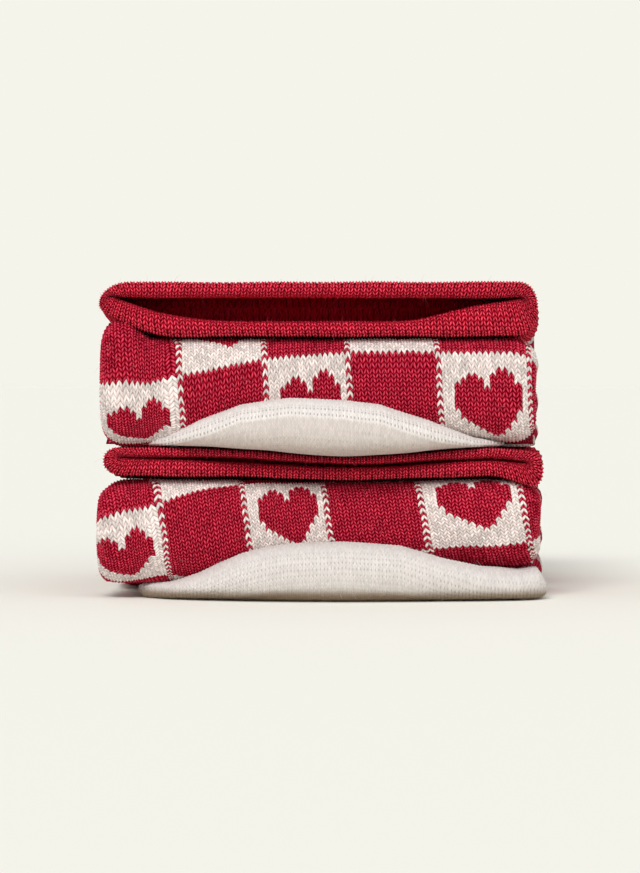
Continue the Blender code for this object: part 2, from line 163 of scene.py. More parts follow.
def settle(points: Array) -> Array:
    """Lets the stack sink under its own weight, as the solids do.

    Args:
        points: (..., 3) millimetres before settling.

    Returns:
        The settled points, measured from the middle of the footprint.
    """
    x, y, z = points[..., 0], points[..., 1], points[..., 2]
    near_front = np.where(y > Y_FRONT, bell(y, Y_FRONT, SINK_DEPTH), 1.0)
    below = (np.maximum(z, 0.0) / LOWER_TOP) ** 4
    above = np.maximum(0.0, 1.0 - (z - LOWER_TOP) / DIP_OVER) ** 2
    share = np.where(z < LOWER_TOP, below, above)
    dip = -DIP * bell(x, DIP_X, DIP_WIDTH) * share * near_front
    tilt = TILT * (x / TILT_HALF) * hump(*TILT_SPAN, z) * near_front
    curl = (CURL * bell(x, CURL_X, CURL_WIDTH) * hump(*CURL_SPAN, z)
            * bell(y, Y_FRONT, CURL_DEPTH))
    return np.stack([x - MIDDLE_X, y - MIDDLE_Y, z + dip + tilt + curl], axis=-1)


def ripple(a: Array, b: Array, seed: int, waves: int = 6) -> Array:
    """Smooth uneven wobble between -1 and 1.

    Args:
        a, b: coordinates, about one unit to a wave.
        seed: picks the waves.
        waves: how many sines are added.

    Returns:
        The wobble at each point.
    """
    rng = np.random.RandomState(seed)
    total = np.zeros(np.broadcast(a, b).shape)
    for _ in range(waves):
        turn, phase, rate = rng.rand(3) * (math.tau, math.tau, 1.0)
        rate = 0.5 + rate
        total += np.sin(rate * (a * math.cos(turn) + b * math.sin(turn)) * math.tau + phase)
    return total / waves * 1.4


def outward_normals(points: Array, hearts: Array, wrap: bool = False) -> Array:
    """Unit normals of a grid of points, away from its hearts on the whole.

    Args:
        points: (rows, columns, 3).
        hearts: points inside the cloth, for each point, row or column.
        wrap: whether the last column meets the first.

    Returns:
        (rows, columns, 3).
    """
    if wrap:
        across = np.roll(points, -1, axis=1) - np.roll(points, 1, axis=1)
    else:
        across = np.gradient(points, axis=1)
    normals = np.cross(across, np.gradient(points, axis=0))
    normals /= np.maximum(np.linalg.norm(normals, axis=-1, keepdims=True), 1e-12)
    return normals if np.sum((points - hearts) * normals) > 0.0 else -normals


@dataclass(frozen=True)
class Crease:
    """A soft trough in the cloth; a ridge where its depth is negative."""

    wale: float         # place round the tube
    along: float        # millimetres along the cloth from the cuff
    turn: float         # degrees from the way of the courses
    length: float
    width: float
    depth: float

    def sink(self, wale: Array, along: Array) -> Array:
        """Depth of the trough at places on the tube.

        Args:
            wale: places round the tube.
            along: millimetres along the cloth.

        Returns:
            How far the cloth sinks there.
        """
        round_way = ((wale - self.wale + 0.5 * WALES) % WALES - 0.5 * WALES) * BACK_WALE
        way = along - self.along
        turn = math.radians(self.turn)
        ahead = round_way * math.cos(turn) + way * math.sin(turn)
        aside = way * math.cos(turn) - round_way * math.sin(turn)
        bend = 0.12 * self.width * np.sin(ahead / self.length * math.tau)
        ends = np.exp(-(2.0 * ahead / self.length) ** 4)
        return self.depth * ends * np.exp(-((aside - bend) / (0.5 * self.width)) ** 2)


@dataclass
class Patch:
    """A stretch of knit laid out as a grid of points.

    Args:
        points: (rows, columns, 3) millimetres, settled.
        stitches: wale and course numbers, with one column more where wrapped.
        outward: a direction at the probe that leads out of the cloth.
        wrap: whether the last column meets the first.
        keep: (rows - 1, spans) faces to keep, or None for all.
        modelled: 1 where the stitches are modelled, 0 where they are drawn.
        hollow: (rows, columns) share that is inside the sock's mouth, which its finish paints
            lighter; on the toe, share of its underside, which gets a painted shadow.
        probe: row and column where outward is given.
    """

    points: Array
    stitches: Array
    outward: Array
    wrap: bool = False
    keep: Optional[Array] = None
    modelled: float = 0.0
    hollow: Optional[Array] = None
    probe: Tuple[int, int] = (2, 2)

    def faces(self) -> Tuple[Array, Array]:
        """Quads of the grid that are kept, and the stitch map at their corners."""
        rows, columns = self.points.shape[:2]
        spans = columns if self.wrap else columns - 1
        r, c = np.meshgrid(np.arange(rows - 1), np.arange(spans), indexing="ij")
        following = (c + 1) % columns
        quads = np.stack([r * columns + c, r * columns + following,
                          (r + 1) * columns + following, (r + 1) * columns + c], axis=-1)
        marks = np.stack([self.stitches[r, c], self.stitches[r, c + 1],
                          self.stitches[r + 1, c + 1], self.stitches[r + 1, c]], axis=2)
        quads, marks = quads.reshape(-1, 4), marks.reshape(-1, 4, 2)
        if self.keep is not None:
            quads, marks = quads[self.keep.reshape(-1)], marks[self.keep.reshape(-1)]
        r, c = self.probe
        across = self.points[r, c + 1] - self.points[r, c]
        along = self.points[r + 1, c] - self.points[r, c]
        if float(np.dot(np.cross(across, along), self.outward)) < 0.0:
            quads, marks = quads[:, ::-1], marks[:, ::-1]
        return quads, marks


def knit_piece(name: str, patches: Sequence[Patch]) -> bpy.types.Object:
    """Makes one mesh object from patches of knit.

    Args:
        name: the piece's name.
        patches: the stretches of knit that it is made of.

    Returns:
        The object, at the origin and smooth shaded, with its stitch map.
    """
    quads, marks, places, modelled, hollow = [], [], [], [], []
    first = 0
    for patch in patches:
        patch_quads, patch_marks = patch.faces()
        used, index = np.unique(patch_quads, return_inverse=True)
        quads.append(index.reshape(-1, 4) + first)
        marks.append(patch_marks)
        places.append(patch.points.reshape(-1, 3)[used] * MM)
        modelled.append(np.full(len(used), patch.modelled))
        within = np.zeros(patch.points.shape[:2]) if patch.hollow is None else patch.hollow
        hollow.append(within.reshape(-1)[used])
        first += len(used)
    mesh = bpy.data.meshes.new(name)
    mesh.from_pydata(np.concatenate(places).tolist(), [], np.concatenate(quads).tolist())
    stitch_map = mesh.uv_layers.new(name="stitches")
    stitch_map.data.foreach_set("uv", np.concatenate(marks).reshape(-1).astype(np.float32))
    for kind, values in (("modelled", modelled), ("hollow", hollow)):
        layer = mesh.attributes.new(kind, "FLOAT", "POINT")
        layer.data.foreach_set("value", np.concatenate(values).astype(np.float32))
    mesh.shade_smooth()
    piece = bpy.data.objects.new(name, mesh)
    bpy.context.scene.collection.objects.link(piece)
    return piece


def strand_height(wale: Array, phase: Array) -> Array:
    """Height of the yarn in a plain knit, from 0 in a gap to 1 on a strand.

    Args:
        wale: wale number, whole at the edge of a wale.
        phase: course number along the strand, half way at its crest.

    Returns:
        Share of the yarn's rise.
    """
    across = np.abs(2.0 * (wale - np.floor(wale)) - 1.0)
    column = 1.0 - (2.0 * across - 1.0) ** 2
    crest = 1.0 - np.abs(2.0 * (phase - np.floor(phase)) - 1.0) ** 2.0
    return 0.34 * column + 0.66 * crest * (0.30 + 0.70 * column)


def sheared(wale: Array, phase: Array) -> Array:
    """Course number where a strand of this phase crosses this wale position."""
    across = np.abs(2.0 * (wale - np.floor(wale)) - 1.0)
    return phase - STRAND_SLOPE * across


HEIGHTS_LOWER = {
    "layer_4_under": (0.0, 0.0, 0.0), "layer_4_over": (4.6, 6.6, 6.9),
    "layer_3_under": (5.0, 7.0, 7.3), "layer_3_over": (14.0, 14.0, 14.1),
    "layer_2_under": (14.4, 14.4, 14.5), "layer_2_over": (24.3, 22.9, 21.4),
    "layer_1_under": (24.7, 23.3, 21.8), "layer_1_over": (31.2, 30.6, 29.0),
}
HEIGHTS_UPPER = {
    "layer_4_under": (31.5, 30.9, 29.3), "layer_4_over": (32.9, 36.0, 36.3),
    "layer_3_under": (33.3, 36.4, 36.7), "layer_3_over": (42.4, 43.6, 43.9),
    "layer_2_under": (42.8, 44.0, 44.3), "layer_2_over": (52.4, 51.8, 51.6),
    "layer_1_under": (54.2, 52.5, 52.0), "layer_1_over": (65.2, 64.2, 60.2),
}
# Each row: x, how far the toe reaches to the front, how high it puffs up.
TOE_LOWER = (
    (-38.0, -39.5, 4.2), (-35.0, -44.0, 4.4), (-31.0, -48.0, 4.7), (-25.0, -51.5, 6.5),
    (-20.8, -53.4, 8.4), (-16.5, -55.0, 10.1), (-10.5, -56.6, 11.4), (-6.5, -57.4, 11.9),
    (4.0, -58.2, 12.1), (16.0, -57.4, 10.9), (24.5, -55.8, 7.8), (32.5, -54.2, 5.5),
    (40.5, -52.0, 4.4), (44.5, -49.4, 4.6), (46.4, -47.0, 3.4),
)
TOE_UPPER = (
    (-38.0, -39.5, 1.0), (-35.5, -43.0, 1.2), (-32.0, -47.0, 1.9), (-25.0, -51.2, 5.4),
    (-16.5, -54.8, 8.7), (-6.5, -57.2, 10.2), (4.0, -57.8, 9.9), (12.0, -56.6, 9.0),
    (22.0, -52.8, 5.8), (31.5, -47.4, 1.9), (35.5, -43.4, 1.2), (38.0, -39.5, 1.0),
)


@dataclass
class SockShape:
    """Sizes of one folded sock: those of its solids, and how its cloth hangs and is knitted."""

    name: str
    heights: Dict[str, Tuple[float, float, float]]
    toe_rows: Sequence[Tuple[float, float, float]]
    half_width: float
    cuff_half_width: float
    middle: float
    cuff_middle: float
    mouth_half_width: float
    mouth_middle: float
    wall_over: float
    mouth_height: float
    mouth_depth: float
    mouth_fall: float
    left_foot: float        # how far the cuff's left foot rounds up, in half heights
    left_edge: float
    right_edge: float
    columns: Sequence[float]    # x of the columns of mixed stitches on its front
    course: float           # height of one course on the front fold
    row_at: float           # height of the main squares' top edge at the right
    droop: Sequence[Tuple[float, float]]    # x, how far the courses droop there
    wale_lean: float        # how far wales lean to the right going down
    fold_lift: float        # how far the front fold's top stands above its solid
    corner_lift: float      # how far its left corner stands up
    foot_sag: Sequence[Tuple[float, float]]     # x, how far its foot hangs there
    left_margin: float      # width of the cloth drawn wide beside its left square
    foot_from: float        # how far below the row's top courses start to bunch at its foot
    foot_span: float        # over what length they bunch
    foot_bunch: float       # how much they bunch
    foot_slack: float       # how much they spread just above
    row_slack: float        # how much they spread at the row's top elsewhere
    end_curl: float         # how far the sole's left end curls up
    end_tuck: float         # how far that end is tucked in
    toe_painted_light: float         # how light its toe is; below 1 it is a painted shade over the whole toe
    cuff_lift: float        # how far the cuff's front stands clear of the fold below
    end_droop: float        # how far the cuff's right end hangs
    toe_seams: Sequence[Tuple[float, float]]    # rows of pits: courses down, depth
    toe_band: float         # courses down to which the toe is smoother and painted whiter, a painted light on its top
    toe_shade: float        # how dark the painted shadow on the toe's underside is
    floor_rise: float       # how far the mouth's lower lip rises at the right
    creases: Sequence[Crease]

    def height(self, face: str, y: Array) -> Array:
        """Height of a layer's face at depth y."""
        front, middle, back = self.heights[face]
        t = np.clip(np.asarray(y, float) / Y_BACK, -1.0, 1.0)
        return middle + 0.5 * (back - front) * t + (0.5 * (back + front) - middle) * t * t

    def middle_x(self, y: Array) -> Array:
        """Middle of the sock's width at depth y."""
        return self.middle + SIDE_SKEW * (np.asarray(y, float) - Y_FRONT)

    def half_width_at(self, y: Array) -> Array:
        """Half width of a layer at depth y."""
        return self.half_width + hump(Y_FRONT, 0.0, Y_BACK + 10.0, y)

    def fold_sizes(self, over: str, under: str, slit_over: str, slit_under: str,
                   y: float) -> Tuple[Tuple[float, float], float, float]:
        """Slit's end at depth y, and the height of the fold's cloth over and under it."""
        centre = 0.5 * (self.height(slit_over, y) + self.height(slit_under, y))
        return ((y, float(centre)), float(self.height(over, y) - centre),
                float(centre - self.height(under, y)))


def fold_radius(turn: Array, reach: float, tall: Array,
                power: Array = FOLD_POWER) -> Array:
    """Distance from a slit's end to the outside of the fold round it."""
    return ((np.abs(np.cos(turn)) / reach) ** power
            + (np.abs(np.sin(turn)) / tall) ** power) ** (-1.0 / power)


@dataclass
class LegTube:
    """Leg, heel and foot: one knitted tube folded in four."""

    shape: SockShape
    per_course: int = 2         # points of the smooth surface to a course
    per_wale: int = 2           # and to a wale
    flat_step: float = 2.6      # length of a mesh face where the cloth is flat
    fold_step: float = 0.9      # and where it folds
    stitch_rise: float = 0.40   # of a modelled stitch
    underlap: float = 0.35      # how deep the plain tube runs behind modelled stitches
    points: Array = field(init=False)
    hearts: Array = field(init=False)
    side: Array = field(init=False)
    length: float = field(init=False)
    fold_at: float = field(init=False)

    def __post_init__(self) -> None:
        """Works out the smooth surface that every knit piece of it lies on."""
        p, q, v, self.fold_at = self._path()
        self.length = float(v[-1])
        count = int(self.length / COURSE * self.per_course) + 1
        even = np.linspace(0.0, self.length, count)
        p, q = points_at(even, v, p), points_at(even, v, q)
        rings, sides = zip(*(self._section(start, end) for start, end in zip(p, q)))
        self.points = self.rounded(settle(np.array(rings)))
        self.side = np.array(sides)
        middle_y = 0.5 * (p[:, 0] + q[:, 0])
        centre = np.stack([self.shape.middle_x(middle_y), middle_y,
                           0.5 * (p[:, 1] + q[:, 1])], axis=-1)
        self.hearts = settle(centre)[:, None, :]

    def rounded(self, points: Array) -> Array:
        """Rounds the front fold as it hangs: squarer on top, softer at its left foot."""
        s = self.shape
        x, y, z = points[..., 0], points[..., 1] + MIDDLE_Y, points[..., 2]
        front = bell(y, Y_FRONT, FOLD_DEPTH)
        centre, up, down = s.fold_sizes(*FRONT_FOLD, FRONT_SLIT_Y)
        ahead, rise = np.maximum(FRONT_SLIT_Y - y, 0.0), z - centre[1]
        tall = np.where(rise > 0.0, up, down)
        power = np.where(rise > 0.0, TOP_POWER, FOLD_POWER
                         + (LEFT_FOOT_POWER - FOLD_POWER) * smooth(*LEFT_FOOT_X, x))
        turn = np.arctan2(np.abs(rise), ahead)
        ratio = (fold_radius(turn, FRONT_REACH, tall, power)
                 / fold_radius(turn, FRONT_REACH, tall))
        ratio = np.where((ahead > 0.0) & (np.abs(rise) < tall + 3.0), ratio, 1.0)
        sole = z < s.heights["layer_4_over"][0] + 0.3
        turned = np.where(sole, smooth(*SOLE_END_X, x) * smooth(*SOLE_END_Y, y), 0.0)
        lift = s.fold_lift + s.corner_lift * smooth(*CORNER_X, x)
        lift = lift * hump(*LIFT_SPAN, z - s.heights["layer_2_over"][0]) * front
        sag = (from_table(s.foot_sag, x)
               * hump(*SAG_SPAN, z - s.heights["layer_3_under"][0]) * front)
        return np.stack([x + s.end_tuck * turned, points[..., 1] - ahead * (ratio - 1.0),
                         z + rise * (ratio - 1.0) + lift - sag + s.end_curl * turned], axis=-1)

    def _path(self) -> Tuple[Array, Array, Array, float]:
        """Points of the instep and sole sides along the folded tube.

        Returns:
            (n, 2) points of each side in (y, z), their distance along the
            cloth, and that distance at the middle of the front fold.
        """
        s = self.shape
        p, q, lengths = [], [], []

        def flat(q_face: str, p_face: str, start: float, end: float) -> None:
            """Adds a flat layer."""
            for y in np.linspace(start, end, 60):
                p.append((y, float(s.height(p_face, y))))
                q.append((y, float(s.height(q_face, y))))

        def fold(names: Tuple[str, str, str, str], y: float, reach: float,
                 side: float) -> None:
            """Adds a fold, from its top to its foot."""
            centre, up, down = s.fold_sizes(*names, y)
            for turn in np.linspace(0.5 * math.pi, -0.5 * math.pi, 49)[1:-1]:
                radius = float(fold_radius(turn, reach, up if turn > 0.0 else down))
                reach_y, reach_z = side * math.cos(turn), math.sin(turn)
                outer = (centre[0] + radius * reach_y, centre[1] + radius * reach_z)
                inner = (centre[0] + 0.5 * SLIT * reach_y, centre[1] + 0.5 * SLIT * reach_z)
                p.append(outer if side < 0.0 else inner)
                q.append(inner if side < 0.0 else outer)

        flat("layer_1_over", "layer_1_under", SEAM_Y + GAP, BACK_SLIT_Y)
        fold(("layer_1_over", "layer_2_under", "layer_1_under", "layer_2_over"),
             BACK_SLIT_Y, BACK_REACH, 1.0)
        flat("layer_2_under", "layer_2_over", BACK_SLIT_Y, FRONT_SLIT_Y)
        first = len(p)
        fold(FRONT_FOLD, FRONT_SLIT_Y, FRONT_REACH, -1.0)
        last = len(p)
        flat("layer_3_over", "layer_3_under", FRONT_SLIT_Y, BACK_SLIT_Y)
        fold(("layer_3_over", "layer_4_under", "layer_3_under", "layer_4_over"),
             BACK_SLIT_Y, BACK_REACH, 1.0)
        flat("layer_4_under", "layer_4_over", BACK_SLIT_Y, TOE_SEAM_Y + GAP)
        p_side, q_side = np.array(p), np.array(q)
        step = np.maximum(np.linalg.norm(np.diff(p_side, axis=0), axis=1),
                          np.linalg.norm(np.diff(q_side, axis=0), axis=1))
        along = np.concatenate([[0.0], np.cumsum(step)])
        middle = float(0.5 * (along[first] + along[last]))
        return p_side, q_side, along + np.arange(len(along)) * 1e-7, middle

    def _section(self, p: Array, q: Array) -> Tuple[Array, Array]:
        """One ring of the flattened tube.

        Args:
            p, q: (y, z) of its instep and sole sides.

        Returns:
            (wales x per_wale, 3) points before settling, and each point's x
            from the middle of the sock.
        """
        s = self.shape
        y = 0.5 * (p[0] + q[0])
        half = float(s.half_width_at(y))
        thick = float(np.hypot(*(q - p)))
        edge = min(SIDE_MOST, SIDE_LEAST + SIDE_SHARE * thick)
        flat = half - edge
        bow, rise = superellipse(np.linspace(-0.5 * math.pi, 0.5 * math.pi, 33), EDGE_POWER)
        arc = lengths_along(np.stack([edge * bow, 0.5 * thick * rise], axis=-1))
        line_x, line_wale = self._columns()
        start, stop = np.interp((-flat, flat), line_x, line_wale)
        face_wales, back_wales = stop - start, 2.0 * flat / BACK_WALE
        edge_wales = 0.5 * (WALES - face_wales - back_wales)
        knots = np.cumsum([0.0, face_wales, edge_wales, back_wales, edge_wales])
        local = (np.arange(WALES * self.per_wale) / self.per_wale - start) % WALES
        x, t = np.zeros_like(local), np.zeros_like(local)
        part = local < knots[1]
        x[part], t[part] = np.interp(local[part] + start, line_wale, line_x), -1.0
        for low, high, sign in ((knots[1], knots[2], 1.0), (knots[3], knots[4], -1.0)):
            part = (local >= low) & (local <= high)
            share = (local[part] - low) / (high - low) * arc[-1]
            x[part] = sign * (flat + np.interp(share, arc, edge * bow))
            t[part] = sign * np.interp(share, arc, rise)
        part = (local >= knots[2]) & (local < knots[3])
        x[part], t[part] = flat - (local[part] - knots[2]) * BACK_WALE, 1.0
        share = 0.5 * (t + 1.0)
        ring = np.stack([float(s.middle_x(y)) + x, p[0] + (q[0] - p[0]) * share,
                         p[1] + (q[1] - p[1]) * share], axis=-1)
        return ring, x

    def _columns(self) -> Tuple[Array, Array]:
        """x and wale number along the face, a column of mixed stitches to a square."""
        x = np.array(self.shape.columns)
        before, after = x[1] - x[0], x[-1] - x[-2]
        x = np.concatenate([[x[0] - 2.0 * before, x[0] - before], x,
                            [x[-1] + after, x[-1] + 2.0 * after]])
        wale = SQUARE_WALES * np.arange(-1, len(x) - 1) + 0.5
        beside = x[2] - np.array([self.shape.left_margin, MIXED_SIDE])
        return (np.insert(x, (2, 2), beside),
                np.insert(wale, (2, 2), wale[2] - np.array(LEFT_MARGIN_WALES)))

    def droop(self, x: Array) -> Array:
        """How far the courses droop away from the cuff at x."""
        rows = self.shape.droop
        fine = np.linspace(rows[0][0], rows[-1][0], 61)
        level = from_table(rows, fine)
        for _ in range(3):
            level[1:-1] = 0.25 * level[:-2] + 0.5 * level[1:-1] + 0.25 * level[2:]
        return np.interp(x, fine, level)

    def lean(self, v: Array) -> Array:
        """Wales that the knit has leant at distance v along the cloth."""
        past = np.clip(v - self.fold_at, -LEAN_REACH, LEAN_REACH)
        return self.shape.wale_lean / BACK_WALE * past

    def sink(self, wale: Array, v: Array) -> Array:
        """How far the creases sink the cloth at places on the tube."""
        return sum(crease.sink(wale, v) for crease in self.shape.creases)

    def bunched(self, down: Array, x: Array) -> Array:
        """Cloth's length below the row's top, as if no courses were bunched.

        Args:
            down: millimetres along the cloth below the top of the main row.
            x: distance from the middle of the sock's width.

        Returns:
            The length, longer than down at the left foot, where courses bunch.
        """
        bunch, slack, above, start = self._foot(x)
        span = self.shape.foot_span
        past = np.clip(down - start, 0.0, span)
        extra = bunch * past * past - slack * np.clip(down, 0.0, start)
        most = bunch * span * span - slack * start
        extra -= most / RELAX * np.clip(down - start - span, 0.0, RELAX)
        over = np.clip(down, -TOP_SPAN, 0.0)
        eased = np.clip(down + TOP_SPAN, -RELAX, 0.0) * TOP_SPAN / RELAX
        return down + extra + above * (over - eased)

    def unbunched(self, length: Array, x: Array) -> Array:
        """The reverse of bunched, a stretch at a time."""
        bunch, slack, above, start = self._foot(x)
        span = self.shape.foot_span
        spread = np.clip(length, 0.0, start * (1.0 - slack)) / (1.0 - slack)
        left = length - start * (1.0 - slack)
        most = span + bunch * span * span
        past = np.clip(left, 0.0, most)
        near = 2.0 * past / (1.0 + np.sqrt(1.0 + 4.0 * bunch * past))
        left = left - most
        relaxed = RELAX - (bunch * span * span - slack * start)
        far = np.clip(left, 0.0, relaxed) * RELAX / relaxed + np.maximum(left - relaxed, 0.0)
        top = TOP_SPAN * (1.0 + above)
        over = np.clip(length, -top, 0.0) / (1.0 + above)
        eased = RELAX - above * TOP_SPAN
        back = (np.clip(length + top, -eased, 0.0) * RELAX / eased
                + np.minimum(length + top + eased, 0.0))
        return spread + near + far + over + back

    def _foot(self, x: Array) -> Tuple[Array, Array, Array, Array]:
        """How much at x the courses bunch, spread above and at the top, and from where."""
        s = self.shape
        near = smooth(*BUNCH_X, x)
        return (s.foot_bunch * near, s.row_slack + (s.foot_slack - s.row_slack) * near,
                CORNER_DRAW * s.corner_lift * smooth(*CORNER_CLOTH_X, x),
                ROW_SPAN + (s.foot_from - ROW_SPAN) * near)

    def stitch_of(self, wale: Array, v: Array, x: Array) -> Array:
        """Wale and course number of a place on the tube.

        Args:
            wale: place round the tube.
            v: distance along the cloth from the cuff.
            x: distance from the middle of the sock's width.

        Returns:
            (..., 2) wale and course numbers, courses rising to the cuff.
        """
        down = self.bunched(v - self.top_of_row - self.droop(x), x)
        return np.stack([wale - self.lean(v) + WALES,
                         FIRST_COURSE - down / self.shape.course], axis=-1)

    @property
    def top_of_row(self) -> float:
        """Distance along the cloth to the top of the main row of squares."""
        s = self.shape
        centre, up, _ = s.fold_sizes(*FRONT_FOLD, FRONT_SLIT_Y)
        turn = np.linspace(0.0, 0.5 * math.pi, 60)
        radius = fold_radius(turn, FRONT_REACH, up)
        y, z = radius * np.cos(turn), radius * np.sin(turn)
        arc = lengths_along(np.stack([y, z], axis=-1))
        rise = s.row_at - centre[1]
        beyond = max(0.0, rise - up)
        return self.fold_at - float(np.interp(rise, z, arc)) - beyond

    def sample(self, grid: Array, wale: Array, v: Array) -> Array:
        """Reads a grid of the tube at places between its points.

        Args:
            grid: (stations, places round) or (stations, places round, 3).
            wale: places round the tube, in wales.
            v: distances along the cloth.

        Returns:
            The grid's values there.
        """
        stations, around = grid.shape[:2]
        a = np.clip(v / self.length * (stations - 1), 0.0, stations - 1.001)
        b = (wale * self.per_wale) % around
        a0, b0 = np.floor(a).astype(int), np.floor(b).astype(int) % around
        fa, fb = a - a0, b - np.floor(b)
        b1 = (b0 + 1) % around
        if grid.ndim == 3:
            fa, fb = fa[..., None], fb[..., None]
        return ((grid[a0, b0] * (1 - fb) + grid[a0, b1] * fb) * (1 - fa)
                + (grid[a0 + 1, b0] * (1 - fb) + grid[a0 + 1, b1] * fb) * fa)

    def front_window(self) -> Tuple[float, float, float, float]:
        """The stretch with modelled stitches: wales from, to, and v from, to."""
        low, high = WINDOW_REACH
        return (*WINDOW_WALES, self.fold_at + low, self.fold_at + high)

    def surface(self, wale: Array, v: Array,
                wrap: bool = False) -> Tuple[Array, Array, Array]:
        """Smooth surface at a grid of places on the tube.

        Args:
            wale: places round the tube.
            v: distances along the cloth.
            wrap: whether the grid goes all round.

        Returns:
            Points, unit normals out of the cloth, and how far creases and
            swellings push it along them.
        """
        base = self.sample(self.points, wale, v)
        hearts = self.sample(np.repeat(self.hearts, self.points.shape[1], axis=1), wale, v)
        normals = outward_normals(base, hearts, wrap)
        push = -INSET + UNEVEN * ripple(wale / 14.0, v / 18.0, 5) - self.sink(wale, v)
        return base, normals, push

    def tube_patch(self) -> Patch:
        """The whole folded tube, with its stitches drawn in the finish."""
        v, at = [], 0.0
        while at < self.length:
            v.append(at)
            at += self.flat_step if self._is_flat(at) else self.fold_step
        v.append(self.length)
        grid_v, grid_w = np.meshgrid(v, np.arange(WALES, dtype=float), indexing="ij")
        base, normals, push = self.surface(grid_w, grid_v, wrap=True)
        low, high, v_low, v_high = self.front_window()
        turned = (grid_w - low) % WALES
        inside = (hump_flat(0.0, 4.0, high - low - 4.0, high - low, turned)
                  * hump_flat(v_low, v_low + 3.0, v_high - 3.0, v_high, grid_v))
        places = base + normals * (push - self.underlap * inside)[..., None]
        for row, inner in ((0, 1), (-1, -2)):
            middle = places[row].mean(axis=0, keepdims=True)
            places[row] = middle + (places[inner] - middle) * np.array([1.0, 1.0, 0.02])
        x = self.sample(self.side, grid_w, grid_v)
        marks = self.stitch_of(grid_w, grid_v, x)
        closing = marks[:, :1] + np.array([float(WALES), 0.0])
        marks = np.concatenate([marks, closing], axis=1)
        under = inside > 0.999
        covered = under[:-1] & under[1:]
        covered &= np.roll(covered, -1, axis=1)
        return Patch(places, marks, normals[2, 2], wrap=True, keep=~covered)

    def _is_flat(self, v: float) -> bool:
        """Whether the cloth lies flat at distance v, away from the folds."""
        row = int(v / self.length * (self.points.shape[0] - 1))
        low, high = max(0, row - 3), min(self.points.shape[0] - 1, row + 3)
        path = self.hearts[:, 0, 1:]
        step = path[high] - path[low]
        return abs(step[1]) < 0.12 * abs(step[0])

    def front_patch(self) -> Patch:
        """The front fold with its stitches modelled."""
        low, high, v_low, v_high = self.front_window()
        wale = np.arange(low, high + 0.01, 0.25)
        pitch = self.shape.course
        top = (self.top_of_row - v_low + self.shape.droop[0][1]) / pitch
        foot = (self.top_of_row - v_high + self.shape.droop[-1][1]) / pitch
        foot -= self.shape.foot_bunch * self.shape.foot_span ** 2 / pitch
        top += CORNER_DRAW * self.shape.corner_lift * TOP_SPAN / pitch
        phase = np.arange(math.floor(foot) - 1, math.ceil(top) + 2, 0.25)
        grid_phase, grid_wale = np.meshgrid(phase, wale, indexing="ij")
        course = sheared(grid_wale, grid_phase)
        course_w = course + 0.10 * ripple(grid_wale / 9.0, course / 9.0, 11)
        wale_w = grid_wale + 0.09 * ripple(grid_wale / 7.0, course / 11.0, 12)
        v = self.top_of_row - course_w * pitch
        for _ in range(5):
            place = wale_w + self.lean(v)
            x = self.sample(self.side, place, v)
            v = self.top_of_row + self.unbunched(-course_w * pitch, x) + self.droop(x)
        base, normals, push = self.surface(place, v)
        edge = (hump_flat(low, low + 2.5, high - 2.5, high, grid_wale)
                * hump_flat(v_low, v_low + 2.0, v_high - 2.0, v_high, v))
        push += self.stitch_rise * strand_height(grid_wale, grid_phase) * edge
        push += 0.04 * ripple(grid_wale / 2.0, grid_phase / 2.0, 21) - 0.3 * (1.0 - edge)
        places = base + normals * push[..., None]
        inside = (v > v_low) & (v < v_high)
        keep = inside[:-1, :-1] & inside[1:, 1:] & inside[:-1, 1:] & inside[1:, :-1]
        marks = np.stack([grid_wale + WALES, course + FIRST_COURSE], axis=-1)
        return Patch(places, marks, normals[2, 2], keep=keep, modelled=1.0)

    def build(self) -> bpy.types.Object:
        """The whole knitted tube as one piece."""
        return knit_piece(self.shape.name + "_leg_knit", (self.tube_patch(), self.front_patch()))


def even_loop(loop: Array, places: Array) -> Tuple[Array, Array]:
    """Points along a closed loop at shares of its length.

    Args:
        loop: (n, 2) points.
        places: shares of the whole length, from 0 to 1.

    Returns:
        (m, 2) points and their outward normals, for a loop that runs
        anticlockwise.
    """
    closed = np.concatenate([loop, loop[:1]])
    along = lengths_along(closed)
    goal = (places % 1.0) * along[-1]
    ahead, behind = (goal + 0.6) % along[-1], (goal - 0.6) % along[-1]
    tangent = points_at(ahead, along, closed) - points_at(behind, along, closed)
    tangent /= np.maximum(np.linalg.norm(tangent, axis=-1, keepdims=True), 1e-9)
    return points_at(goal, along, closed), np.stack([tangent[:, 1], -tangent[:, 0]], axis=-1)


# Rows behind the cuff's seam: how far past it, and how deep they are tucked in.
CUFF_TUCK = ((3.4, 1.3), (1.6, 0.9), (0.9, 0.45), (0.35, 0.12))
# Rows that close the mouth's hollow: how far past its end, and how far its sides cross.
MOUTH_END = ((1.5, 0.0), (3.0, 0.8))


